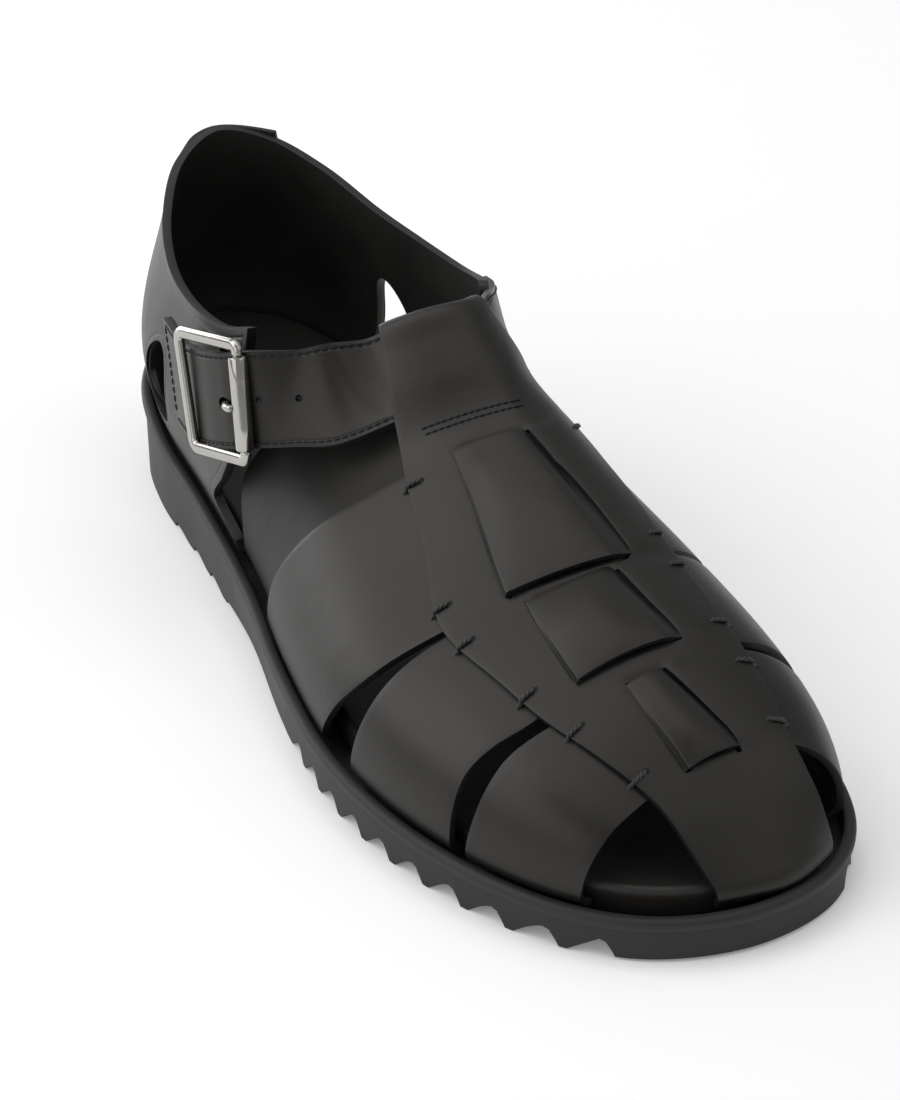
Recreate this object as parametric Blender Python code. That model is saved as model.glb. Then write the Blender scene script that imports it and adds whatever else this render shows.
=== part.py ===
"""Woven sandal: right shoe with a three-band weave, closed heel and a buckled ankle strap."""
import math

import bmesh
import bpy
import numpy as np

MM = 0.001
FRAME_X = 1.85

# sole
SOLE_LENGTH = 300.0
TOE_APEX_X = 6.0
LIP_OUT = 1.7
LIP_IN = 1.3
LIP_TALL = 2.6
SIDE_OUT = 0.7
CHANNEL_DEEP = 2.2
OUTLINE_STEPS = 4
SOLE_PLAN = [
    # u from heel end, lateral x, medial x
    (0.03, -17.9, 18.8),
    (0.09, -30.5, 29.8),
    (0.18, -37.0, 34.8),
    (0.30, -39.4, 32.8),
    (0.45, -44.0, 30.6),
    (0.58, -50.8, 37.5),
    (0.70, -54.0, 47.9),
    (0.80, -50.3, 50.3),
    (0.89, -40.6, 47.4),
    (0.95, -28.4, 39.1),
    (0.985, -14.2, 26.3),
]
RIM = [
    # y, rim height
    (-150.0, 10.5),
    (-100.0, 11.6),
    (-45.0, 13.5),
    (0.0, 16.0),
    (40.0, 18.3),
    (75.0, 20.5),
    (115.0, 25.0),
    (150.0, 30.0),
]
FOOT_OUT = [
    # y, reach of the tread's edge beyond the lip's crest
    (-155.0, 1.6),
    (-140.0, 1.2),
    (-118.0, 0.8),
    (-60.0, 0.5),
    (0.0, 0.0),
    (60.0, 0.2),
    (110.0, 0.5),
    (155.0, 0.7),
]
SPRING = [
    # y, bottom height
    (-155.0, 1.2),
    (-132.0, 0.3),
    (-118.0, 0.0),
    (155.0, 0.0),
]

# tread
FORE_TIP_Y = -32.5
FORE_PITCH = 11.2
FORE_GAPS = 10
TOE_GAP = 8.8
FORE_DEEP = 4.0
HEEL_TIPS = [83.0, 67.5, 52.5, 37.5]
HEEL_DEEP = 1.8
WAIST_DEEP = 2.2

# insole
INSOLE_INSET = 8.6
INSOLE_LOW = 0.3
INSOLE_TALL = 4.6
INSOLE_ROUND = 1.2

# vamp surface
WIDE_INSET = 3.0
WIDE_RISE = 2.0
FOOT_DROP = 0.9
TUCK = 4.0
TUCK_SPAN = 0.12
TOE_S = 162.0
TOE_TUCK = 10.0
SECTION_FAN = 1.7
VAMP = [
    # s, ridge x, ridge y, ridge z, lateral foot y, medial foot y, lateral power, medial power
    (0.0, 6.5, 4.0, 90.0, 44.0, 40.0, 1.8, 2.7),
    (12.0, 7.5, -5.0, 82.2, 32.0, 28.0, 1.8, 3.0),
    (26.0, 9.0, -17.5, 74.2, 17.0, 12.0, 1.8, 3.3),
    (42.0, 10.5, -33.0, 68.6, -3.0, -8.0, 1.75, 3.3),
    (62.0, 11.0, -51.5, 62.2, -27.0, -32.0, 1.7, 3.0),
    (85.0, 11.5, -73.5, 54.0, -61.0, -62.0, 1.75, 2.5),
    (113.0, 12.0, -102.5, 45.4, -107.0, -103.0, 1.95, 2.3),
    (127.0, 12.6, -115.5, 39.2, -124.0, -120.0, 2.2, 2.3),
    (141.0, 13.0, -128.0, 30.8, -135.0, -132.0, 2.3, 2.3),
    (152.0, 13.2, -138.0, 21.6, -139.5, -137.0, 2.3, 2.3),
    (162.0, 13.2, -146.3, 12.5, -142.5, -139.5, 2.2, 2.2),
]

# weave
BAND_THICK = 1.8
BAND_END = 1.08
BAND_CROSS = 2.6
BAND_RAMP = 0.035
BAND_SWELL = 0.6
TONGUE_LOW = 1.2
TONGUE_THICK = 2.0
SLIT_WIDE = 0.026
TONGUE = [
    # s, lateral edge, medial edge
    (-4.0, -0.215, 0.060),
    (12.0, -0.248, 0.108),
    (24.0, -0.291, 0.180),
    (40.0, -0.356, 0.270),
    (67.0, -0.411, 0.245),
    (87.0, -0.468, 0.222),
    (101.0, -0.450, 0.225),
    (114.0, -0.440, 0.235),
    (126.0, -0.408, 0.260),
    (139.0, -0.374, 0.330),
    (152.0, -0.345, 0.540),
    (162.0, -0.335, 0.780),
    (172.0, -0.330, 0.860),
]
BANDS = [
    # name, rear lateral slit, rear medial slit, front lateral slit, front medial slit
    ("band_1", -0.236, -0.018, -0.306, 0.045),
    ("band_2", -0.271, -0.023, -0.306, 0.023),
    ("band_3", -0.191, -0.070, -0.190, 0.023),
]
BAND_EDGES = [
    # t, band 1 rear, band 1 front, band 2 rear, band 2 front, band 3 rear, band 3 front
    (-1.12, 44.0, 79.0, 89.5, 110.9, 113.8, 136.6),
    (-1.00, 43.0, 80.1, 89.7, 110.9, 114.0, 137.4),
    (-0.85, 42.6, 82.4, 89.8, 110.7, 114.6, 138.1),
    (-0.70, 43.5, 84.9, 89.1, 110.3, 114.7, 138.6),
    (-0.60, 43.5, 85.5, 88.3, 110.9, 114.6, 138.7),
    (-0.48, 43.5, 85.8, 87.6, 112.2, 115.3, 139.1),
    (-0.25, 42.3, 86.3, 89.6, 111.7, 117.4, 139.0),
    (0.03, 42.5, 86.1, 87.2, 111.2, 116.0, 138.0),
    (0.24, 43.5, 86.0, 87.3, 112.6, 114.8, 137.6),
    (0.48, 43.5, 85.5, 88.4, 111.2, 114.8, 137.2),
    (0.75, 43.0, 83.8, 89.5, 110.5, 114.7, 136.6),
    (1.00, 43.0, 81.0, 89.6, 110.9, 114.2, 135.4),
    (1.12, 43.5, 79.8, 89.4, 110.8, 113.9, 134.6),
]
INSTEP_LOW = -1.6
INSTEP_HIGH = 0.3
INSTEP_REAR = [
    # t, rear edge s
    (-1.12, 17.0),
    (-1.00, 15.5),
    (-0.92, 12.0),
    (-0.85, 7.0),
    (-0.70, 7.0),
    (-0.45, 14.0),
    (-0.15, 20.0),
    (0.15, 20.0),
    (0.45, 14.0),
    (0.70, 8.0),
    (0.85, 8.0),
    (0.94, 13.0),
    (1.00, 15.5),
    (1.12, 17.0),
]
INSTEP_FRONT_S = 50.0

# loop of the centre strap
LOOP_THICK = 1.7
LOOP_OUTER = 6.5
LOOP_FLAP = 1.0
LOOP_TOP_S = 5.7
SEAM_S = 34.0
FLAP_END_S = 30.4

# quarter
QUARTER_INSET = 1.8
QUARTER_TUCK = 3.0
QUARTER_DROP = 3.6
QUARTER_THICK = 2.4
QUARTER = [
    # w, base arc, collar x, collar y, collar z, bulge
    (-7.0, -146.0, -37.2, 12.0, 86.0, 3.2),
    (-6.0, -127.0, -37.0, 27.0, 81.5, 3.4),
    (-5.0, -110.0, -36.8, 47.0, 74.0, 3.4),
    (-4.0, -92.0, -35.5, 72.0, 70.5, 3.6),
    (-3.0, -72.0, -32.0, 96.0, 71.0, 3.8),
    (-2.0, -50.5, -25.5, 117.0, 76.5, 4.0),
    (-1.0, -27.0, -14.5, 135.5, 84.0, 4.6),
    (0.0, 0.0, 0.3, 143.5, 88.8, 4.8),
    (1.0, 27.0, 14.5, 136.0, 86.8, 4.8),
    (2.0, 50.5, 24.0, 118.0, 82.0, 4.8),
    (3.0, 72.0, 30.0, 96.0, 76.6, 4.6),
    (4.0, 92.0, 33.0, 74.0, 75.2, 4.4),
    (5.0, 110.0, 34.5, 52.0, 75.4, 4.0),
    (6.0, 127.0, 31.4, 33.5, 79.8, 3.6),
    (7.0, 146.0, 26.0, 18.0, 84.6, 3.4),
]
LEG_FRONT = [
    # h, front edge of the leg as distance in w from the heel
    (-0.08, 6.33),
    (0.02, 6.30),
    (0.04, 6.04),
    (0.07, 5.60),
    (0.11, 5.44),
    (0.17, 5.58),
    (0.28, 5.98),
    (0.40, 6.22),
    (0.65, 6.14),
    (1.00, 6.08),
]
CUTOUT_LATERAL = [
    # y, z round the opening beside the buckle
    (107.2, 35.0),
    (107.4, 38.6),
    (105.6, 42.6),
    (102.2, 46.0),
    (97.2, 49.2),
    (92.4, 50.6),
    (88.2, 49.4),
    (85.6, 45.6),
    (83.8, 40.4),
    (82.4, 35.0),
    (83.4, 31.4),
    (88.0, 30.2),
    (95.0, 30.6),
    (102.6, 31.8),
]
CUTOUT_MEDIAL = [
    # y, z round the D-shaped opening on the inner side
    (103.8, 27.2),
    (105.2, 30.5),
    (105.0, 40.0),
    (103.8, 48.0),
    (101.4, 52.6),
    (97.8, 54.4),
    (93.3, 53.4),
    (88.3, 49.4),
    (84.1, 43.4),
    (81.0, 36.0),
    (79.8, 29.6),
    (81.4, 26.4),
]

# heel tab
TAB_GAP = 0.3
TAB_THICK = 1.3
TAB_LATERAL = -0.80
TAB_MEDIAL = 1.08
TAB_RISE = 0.025
TAB_END_H = 0.82
TAB_MID_H = 0.66

# ankle strap, mid surface
STRAP_THICK = 2.4
STRAP_LIFT = 3.7
STRAP_FREE = (-41.7, 71.1, 67.7, -44.0, 57.4, 44.2)
STRAP_RIDE = [
    # along the buckle, outward from its plane, top edge, lower edge
    (-21.0, -4.0, 11.8, -12.8),
    (-13.9, -2.6, 11.8, -12.6),
    (-7.0, 0.2, 11.9, -11.3),
    (0.0, 2.7, 12.2, -11.2),
    (7.0, 0.0, 12.6, -11.2),
    (13.9, -4.2, 13.5, -10.5),
]
STRAP_LATERAL = [
    # top x, y, z, bottom x, y, z
    (-29.8, 12.4, 80.2, -34.0, 3.6, 58.8),
    (-22.8, 8.8, 81.9, -26.2, -6.2, 62.2),
]
STRAP_TONGUE_T = (-0.29, -0.20, -0.10, 0.0, 0.08, 0.16, 0.215)
STRAP_TOP_S = 4.6
STRAP_LOW_S = 27.2
STRAP_MEDIAL = [
    # top x, y, z, bottom x, y, z
    (22.4, 14.0, 84.8, 26.6, 1.6, 66.4),
    (27.6, 23.0, 81.2, 32.0, 13.8, 58.6),
    (33.2, 34.0, 77.8, 36.0, 25.0, 51.4),
    (36.3, 44.6, 74.8, 37.8, 34.0, 47.2),
]
STRAP_POINT = 9.0
STRAP_ROWS = 42

# buckle
BUCKLE_CENTRE = (-45.2, 26.9, 63.7)
BUCKLE_ALONG = (0.152, -0.960, 0.237)
BUCKLE_UP = (0.043, 0.246, 0.968)
BUCKLE_CORNERS = [
    # along, up, outward, corner radius
    (13.7, 15.4, 0.8, 1.8),
    (-14.2, 15.9, 1.8, 2.6),
    (-10.9, -13.2, 1.8, 2.6),
    (13.7, -13.3, 0.8, 1.8),
]
BUCKLE_ROD = 1.6
BUCKLE_FLAT = 0.8
FRONT_ROD = 1.1
SHOULDER = 0.3
ROLLER_IN = 1.5
ROLLER_OUT = 2.35
ROLLER_TOP = 13.0
ROLLER_LOW = -10.9
CENTRE_ROD = 1.2
CENTRE_DROP = 1.6
CENTRE_BAR = [
    # distance inside the frame's side bar, outward
    (0.0, 1.3),
    (0.8, -0.6),
    (2.2, -CENTRE_DROP),
]
SLEEVE_IN = 1.5
SLEEVE_OUT = 2.1
SLEEVE_HALF = 1.5
PRONG = [
    # along, outward, radius
    (1.75, -1.1, 1.0),
    (4.2, -0.1, 1.1),
    (7.6, 1.9, 1.1),
    (9.4, 2.5, 1.0),
    (10.2, 2.6, 0.8),
]
PRONG_HOLE = 1.5
CHAPE_HALF = 8.0
CHAPE_THICK = 1.2
CHAPE_SLOT = 2.2
CHAPE = [
    # along, outward, slant across
    (-22.0, -8.8, -0.135),
    (-14.0, -7.3, -0.135),
    (-6.0, -5.8, -0.125),
    (-2.4, -4.6, -0.06),
    (-0.4, -3.75, 0.0),
    (1.4, -3.2, 0.0),
    (2.15, -1.6, 0.0),
    (1.5, -0.1, 0.0),
    (0.0, 0.55, 0.0),
    (-2.0, -0.1, 0.0),
    (-3.6, -1.6, 0.0),
    (-4.4, -2.8, 0.0),
]


TABLES = {}


def at(rows, key):
    """Values of a table's other columns at a key, by a smooth curve through its rows."""
    if id(rows) not in TABLES:
        keys = np.array([row[0] for row in rows], float)
        vals = np.array([row[1:] for row in rows], float)
        TABLES[id(rows)] = (keys, vals, np.gradient(vals, keys, axis=0), rows)
    keys, vals, slope, _ = TABLES[id(rows)]
    i = int(np.clip(np.searchsorted(keys, key) - 1, 0, len(keys) - 2))
    span = keys[i + 1] - keys[i]
    f = (key - keys[i]) / span
    if f < 0.0:
        return vals[0] + slope[0] * (key - keys[0])
    if f > 1.0:
        return vals[-1] + slope[-1] * (key - keys[-1])
    a = (1 + 2 * f) * (1 - f) ** 2
    b = f * (1 - f) ** 2 * span
    c = f * f * (3 - 2 * f)
    d = f * f * (f - 1) * span
    return a * vals[i] + b * slope[i] + c * vals[i + 1] + d * slope[i + 1]


def linear(rows, key, column):
    """One column of a table by straight lines between its rows."""
    keys = [row[0] for row in rows]
    return float(np.interp(key, keys, [row[column] for row in rows]))


def plan_curve(steps):
    """Closed plan curve of the lip's crest, from the heel end along the lateral side."""
    lateral = [(x, SOLE_LENGTH * (0.5 - u)) for u, x, _ in SOLE_PLAN]
    medial = [(x, SOLE_LENGTH * (0.5 - u)) for u, _, x in SOLE_PLAN]
    ends = [(0.0, SOLE_LENGTH / 2)], [(TOE_APEX_X, -SOLE_LENGTH / 2)]
    pts = np.array(ends[0] + lateral + ends[1] + medial[::-1])
    count = len(pts)
    out = []
    for i in range(count):
        a, b, c, d = pts[i - 1], pts[i], pts[(i + 1) % count], pts[(i + 2) % count]
        ta = np.linalg.norm(b - a) ** 0.5
        tb = np.linalg.norm(c - b) ** 0.5
        tc = np.linalg.norm(d - c) ** 0.5
        m1 = tb * ((b - a) / ta - (c - a) / (ta + tb) + (c - b) / tb)
        m2 = tb * ((c - b) / tb - (d - b) / (tb + tc) + (d - c) / tc)
        for k in range(steps):
            f = k / steps
            p = (1 + 2 * f) * (1 - f) ** 2 * b + f * (1 - f) ** 2 * m1
            out.append(p + f * f * (3 - 2 * f) * c + f * f * (f - 1) * m2)
    return np.array(out)


def offset_curve(curve, inset):
    """Plan curve moved inward along its normals."""
    tangent = np.roll(curve, -1, 0) - np.roll(curve, 1, 0)
    tangent = tangent / np.linalg.norm(tangent, axis=1)[:, None]
    outward = np.c_[tangent[:, 1], -tangent[:, 0]]
    return curve - inset * outward


FINE = plan_curve(24)
SIDES = {}


def side_point(y, side, inset):
    """Point of the inset plan curve at one y on the lateral (-1) or medial (1) side."""
    if inset not in SIDES:
        loop = offset_curve(FINE, inset)
        toe = int(np.argmin(loop[:, 1]))
        heel = int(np.argmax(loop[:, 1]))
        loop = np.roll(loop, -heel, 0)
        toe = (toe - heel) % len(loop)
        lateral = loop[:toe + 1][::-1]
        medial = np.r_[loop[toe:], loop[:1]]
        SIDES[inset] = (lateral, medial)
    part = SIDES[inset][0 if side < 0 else 1]
    x = np.interp(y, part[:, 1], part[:, 0])
    return np.array([x, np.clip(y, part[0, 1], part[-1, 1])])


def rim(y):
    """Height of the lip's crest."""
    return at(RIM, y)[0]


def vamp(s, t):
    """Inner face of the weave: s runs from throat to toe, t from lateral foot to medial foot."""
    rx, ry, rz, ly, my, lp, mp = at(VAMP, min(s, TOE_S))
    side = -1 if t < 0 else 1
    foot_y = ly if t < 0 else my
    power = lp if t < 0 else mp
    wide = side_point(foot_y, side, WIDE_INSET)
    foot = side_point(foot_y, side, WIDE_INSET + TUCK)
    top = rim(wide[1]) + WIDE_RISE
    low = rim(wide[1]) - FOOT_DROP
    angle = 0.5 * math.pi * min(abs(t), 1.0)
    c = math.sin(angle) ** (2 / power) if abs(t) > 1e-9 else 0.0
    v = math.cos(angle) ** (2 / power) if abs(t) < 1.0 - 1e-9 else 0.0
    x = rx + (wide[0] - rx) * c
    y = ry + (wide[1] - ry) * c ** SECTION_FAN
    z = top + (rz - top) * v
    turn = 0.5 * math.pi * max(abs(t) - 1.0, 0.0) / TUCK_SPAN
    w = 1.0 - math.cos(turn)
    toe = 0.5 * math.pi * max(s - TOE_S, 0.0) / TOE_TUCK
    inward = (1.0 - math.cos(toe)) * TUCK
    x = x + (foot[0] - wide[0]) * w + (rx - x) * inward / 60.0
    y = y + (foot[1] - wide[1]) * w + inward
    z = z - (top - low) * max(math.sin(turn), math.sin(toe))
    return np.array([x, y, z])


def vamp_lift(s, t, lift):
    """Point at a height above the weave's inner face."""
    a = vamp(s + 0.5, t) - vamp(s - 0.5, t)
    b = vamp(s, t + 0.012) - vamp(s, t - 0.012)
    n = np.cross(a, b)
    return vamp(s, t) + lift * n / np.linalg.norm(n)


def arc_table(inset):
    """Inset plan curve from the heel end along the lateral side, with its arc lengths."""
    loop = offset_curve(FINE, inset)
    loop = np.roll(loop, -int(np.argmax(loop[:, 1])), 0)
    loop = np.r_[loop, loop[:1]]
    steps = np.linalg.norm(np.diff(loop, axis=0), axis=1)
    return loop, np.r_[0.0, np.cumsum(steps)]


HEEL_LOOP, HEEL_ARC = arc_table(QUARTER_INSET)


def arc_point(arc):
    """Plan point and outward normal on the quarter's base, lateral arcs negative."""
    k = (-arc) % HEEL_ARC[-1]
    p = np.array([np.interp(k, HEEL_ARC, HEEL_LOOP[:, i]) for i in (0, 1)])
    k = (0.5 - arc) % HEEL_ARC[-1]
    q = np.array([np.interp(k, HEEL_ARC, HEEL_LOOP[:, i]) for i in (0, 1)])
    d = (q - p) / np.linalg.norm(q - p)
    return p, np.array([d[1], -d[0]])


def quarter(w, h):
    """Outer face of the quarter: w runs lateral to medial round the heel, h from foot to collar."""
    arc, cx, cy, cz, bulge = at(QUARTER, w)
    base, n = arc_point(arc)
    low = rim(base[1]) + WIDE_RISE
    k = max(h, 0.0)
    g = 6.75 * k * (1.0 - min(k, 1.0)) ** 2 * bulge
    turn = 0.5 * math.pi * max(-h, 0.0) / 0.1
    push = g - QUARTER_TUCK * (1.0 - math.cos(turn))
    x = base[0] + (cx - base[0]) * k + n[0] * push
    y = base[1] + (cy - base[1]) * k + n[1] * push
    return np.array([x, y, low + (cz - low) * k - QUARTER_DROP * math.sin(turn)])


def quarter_lift(w, h, lift):
    """Point at a distance outside the quarter's outer face."""
    a = quarter(w + 0.03, h) - quarter(w - 0.03, h)
    b = quarter(w, h + 0.01) - quarter(w, h - 0.01)
    n = np.cross(b, a)
    n = n / np.linalg.norm(n)
    centre = np.array([0.0, 60.0])
    if n[:2] @ (quarter(w, h)[:2] - centre) < 0:
        n = -n
    return quarter(w, h) + lift * n


def collection(name):
    group = bpy.data.collections.new(name)
    bpy.context.scene.collection.children.link(group)
    return group


def material(name, color, rough, metal):
    mat = bpy.data.materials.new(name)
    mat.use_nodes = True
    shader = mat.node_tree.nodes["Principled BSDF"]
    shader.inputs["Base Color"].default_value = (*color, 1.0)
    shader.inputs["Roughness"].default_value = rough
    shader.inputs["Metallic"].default_value = metal
    return mat


def add(name, verts, faces, group, mat=None):
    """New object from points in millimetres and faces, its normals turned outward."""
    mesh = bpy.data.meshes.new(name)
    mesh.from_pydata([((x + FRAME_X) * MM, y * MM, z * MM) for x, y, z in verts], [], faces)
    bm = bmesh.new()
    bm.from_mesh(mesh)
    bmesh.ops.recalc_face_normals(bm, faces=bm.faces)
    bm.to_mesh(mesh)
    bm.free()
    obj = bpy.data.objects.new(name, mesh)
    group.objects.link(obj)
    if mat is not None:
        mesh.materials.append(mat)
    return obj


def cutter(obj):
    obj.hide_render = True
    obj.display_type = 'WIRE'
    return obj


def boolean(obj, other, operation):
    mod = obj.modifiers.new(operation.lower() + " " + other.name, 'BOOLEAN')
    mod.operation = operation
    mod.solver = 'EXACT'
    mod.object = other
    return mod


def loft(rings):
    """Points and faces of a closed stack of equal closed rings, both ends filled by cross strips."""
    n = len(rings[0])
    verts = [p for ring in rings for p in ring]
    faces = []
    for r in range(len(rings) - 1):
        for i in range(n):
            j = (i + 1) % n
            faces.append((r * n + i, r * n + j, (r + 1) * n + j, (r + 1) * n + i))
    for start in (0, (len(rings) - 1) * n):
        faces.append((start, start + 1, start + n - 1))
        for i in range(1, n // 2 - 1):
            faces.append((start + i, start + i + 1, start + n - i - 1, start + n - i))
        faces.append((start + n // 2 - 1, start + n // 2, start + n // 2 + 1))
    return verts, faces


def shell(outer, inner, keep=None):
    """Points and faces of a wall between two equal grids, with walls round the cells left out."""
    rows, cols = len(outer), len(outer[0])
    verts = [p for row in outer for p in row] + [p for row in inner for p in row]
    half = rows * cols
    faces = []

    def kept(i, j):
        inside = 0 <= i < rows - 1 and 0 <= j < cols - 1
        return inside and (keep is None or keep(i, j))

    for i in range(rows - 1):
        for j in range(cols - 1):
            if not kept(i, j):
                continue
            a, b, c, d = i * cols + j, i * cols + j + 1, (i + 1) * cols + j + 1, (i + 1) * cols + j
            faces.append((a, b, c, d))
            faces.append((a + half, d + half, c + half, b + half))
            for p, q, k, m in ((a, b, i - 1, j), (b, c, i, j + 1), (c, d, i + 1, j), (d, a, i, j - 1)):
                if not kept(k, m):
                    faces.append((q, p, p + half, q + half))
    used = sorted({v for face in faces for v in face})
    index = {v: k for k, v in enumerate(used)}
    return [verts[v] for v in used], [tuple(index[v] for v in face) for face in faces]


def prism(name, outline, x0, x1, group):
    """Cutter: a filled outline in the y-z plane drawn out along x."""
    n = len(outline)
    verts = [(x0, y, z) for y, z in outline] + [(x1, y, z) for y, z in outline]
    faces = [tuple(range(n)), tuple(range(2 * n - 1, n - 1, -1))]
    faces += [(i, n + i, n + (i + 1) % n, (i + 1) % n) for i in range(n)]
    return cutter(add(name, verts, faces, group))


def outline(out, height):
    """Ring of sole points at a distance outside the lip's crest."""
    return [(x, y, height(y)) for x, y in offset_curve(plan_curve(OUTLINE_STEPS), -out)]


def bottom(y):
    """Height of the tread's tips, flat but for the toe spring."""
    return linear(SPRING, y, 1)


def make_outsole(group, cutters, mat):
    """Lipped rubber sole with a sawtooth forefoot, an arched waist and a stepped heel."""
    crest = plan_curve(OUTLINE_STEPS)
    outward = offset_curve(crest, -1.0) - crest
    reach = [linear(FOOT_OUT, y, 1) for _, y in crest]
    foot = [(*(p + r * n), bottom(p[1])) for p, r, n in zip(crest, reach, outward)]
    rings = [
        foot,
        outline(SIDE_OUT, lambda y: rim(y) - LIP_TALL - 0.8),
        outline(LIP_OUT, lambda y: rim(y) - LIP_TALL),
        outline(LIP_OUT, lambda y: rim(y) - 1.0),
        outline(LIP_OUT - 0.6, lambda y: rim(y) - 0.2),
        outline(LIP_OUT - 1.4, rim),
        outline(0.4 - LIP_IN, lambda y: rim(y) - 0.1),
        outline(-LIP_IN, lambda y: rim(y) - 0.6),
        outline(-LIP_IN - 0.1, lambda y: rim(y) - CHANNEL_DEEP),
    ]
    sole = add("outsole", *loft(rings), group, mat)
    tooth = [(0.04, -3.0), (0.04, -0.6), (0.33, 2.2), (0.53, 3.6), (0.64, 4.0),
             (0.75, 3.5), (0.85, 1.8), (0.97, -0.6), (0.97, -3.0)]
    for k in range(FORE_GAPS):
        y = FORE_TIP_Y - k * FORE_PITCH
        run = TOE_GAP if k == FORE_GAPS - 1 else FORE_PITCH
        rise = bottom(y - run / 2)
        shape = [(y - a * run, b * FORE_DEEP / 4.0 + rise) for a, b in tooth]
        boolean(sole, prism("tread_gap_%d" % k, shape, -80.0, 80.0, cutters), 'DIFFERENCE')
    for k, y in enumerate(HEEL_TIPS[:-1]):
        run = y - HEEL_TIPS[k + 1]
        shape = [(y - 0.6, -3.0), (y - 0.6, -0.3), (y - 2.0, HEEL_DEEP), (y - 3.6, HEEL_DEEP),
                 (y - run + 1.0, -0.3), (y - run + 1.0, -3.0)]
        boolean(sole, prism("heel_step_%d" % k, shape, -80.0, 80.0, cutters), 'DIFFERENCE')
    front, back = FORE_TIP_Y + 2.0, HEEL_TIPS[-1] - 0.6
    arch = [(back, -3.0)]
    arch += [(back, -0.4), (back - 1.6, 1.3)]
    for k in range(1, 8):
        f = k / 8
        rise = 1.3 * (1.0 - f) + (WAIST_DEEP - 0.6) * math.sin(math.pi * f)
        arch.append((back - 2.0 + (front - back + 2.0) * f, rise))
    arch.append((front, -0.4))
    arch.append((front, -3.0))
    boolean(sole, prism("waist_arch", arch, -80.0, 80.0, cutters), 'DIFFERENCE')
    return sole


def make_insole(group, mat):
    low = INSOLE_LOW - CHANNEL_DEEP
    high = low + INSOLE_TALL
    rings = [
        outline(-INSOLE_INSET - 0.4, lambda y: rim(y) + low),
        outline(-INSOLE_INSET, lambda y: rim(y) + low + 0.6),
        outline(-INSOLE_INSET, lambda y: rim(y) + high - INSOLE_ROUND),
        outline(-INSOLE_INSET - 0.4 * INSOLE_ROUND, lambda y: rim(y) + high - 0.3 * INSOLE_ROUND),
        outline(-INSOLE_INSET - INSOLE_ROUND, lambda y: rim(y) + high),
    ]
    return add("insole", *loft(rings), group, mat)


def tongue_edges(s):
    left, right = at(TONGUE, s)
    return left, right


def slit_row(k, s, rear, front):
    """Slit positions of one band's crossing, at one s."""
    _, rl, rm, fl, fm = BANDS[k]
    f = min(max((s - rear) / (front - rear), 0.0), 1.0)
    return rl + (fl - rl) * f, rm + (fm - rm) * f


def crossing(k):
    """Rear and front s of one band where it lies over the centre strap."""
    t = 0.5 * (BANDS[k][1] + BANDS[k][4])
    row = at(BAND_EDGES, t)
    return row[2 * k], row[2 * k + 1]


def make_band(k, group):
    """One cross band: under the side strips of the centre strap and over its middle."""
    name, rl, rm, fl, fm = BANDS[k]
    rear, front = crossing(k)
    ramp = BAND_RAMP
    left, right = 0.5 * (rl + fl), 0.5 * (rm + fm)
    ts = [-BAND_END, -1.05, -1.02, -0.99, -0.93, -0.86, -0.78, -0.70, -0.62, -0.54, -0.46, -0.40]
    ts += [left - 2.2 * ramp, left - 0.5 * ramp, left + 0.25 * ramp, left + ramp]
    ts += [left + (right - left) * f for f in (0.3, 0.5, 0.7)]
    ts += [right - ramp, right - 0.25 * ramp, right + 0.5 * ramp, right + 2.2 * ramp]
    ts += [0.33, 0.42, 0.50, 0.58, 0.66, 0.74, 0.82, 0.89, 0.95, 0.99, 1.02, 1.05, BAND_END]
    ts = [t for i, t in enumerate(ts) if i == 0 or t > ts[i - 1]]
    lefts = len([t for t in ts if t <= left + ramp])
    outer, inner = [], []
    columns = 4
    for i, t in enumerate(ts):
        edges = at(BAND_EDGES, t)
        row_out, row_in = [], []
        for j in range(columns + 1):
            f = j / columns
            s = edges[2 * k] + (edges[2 * k + 1] - edges[2 * k]) * f
            sl, sm = slit_row(k, s, rear, front)
            shift = 0.0
            if abs(t - left) < 3.0 * ramp:
                shift = (sl - left) * (1.0 - abs(t - left) / (3.0 * ramp))
            if abs(t - right) < 3.0 * ramp:
                shift = (sm - right) * (1.0 - abs(t - right) / (3.0 * ramp))
            tt = t + shift
            over = min(max((tt - sl) / ramp + 0.5, 0.0), 1.0) * min(max((sm - tt) / ramp + 0.5, 0.0), 1.0)
            swell = BAND_SWELL * math.sin(math.pi * f)
            low = BAND_CROSS * over
            row_out.append(vamp_lift(s, tt, low + BAND_THICK + swell * over))
            row_in.append(vamp_lift(s, tt, low))
        outer.append(row_out)
        inner.append(row_in)
    return cutter(add(name, *shell(outer, inner), group))


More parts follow.
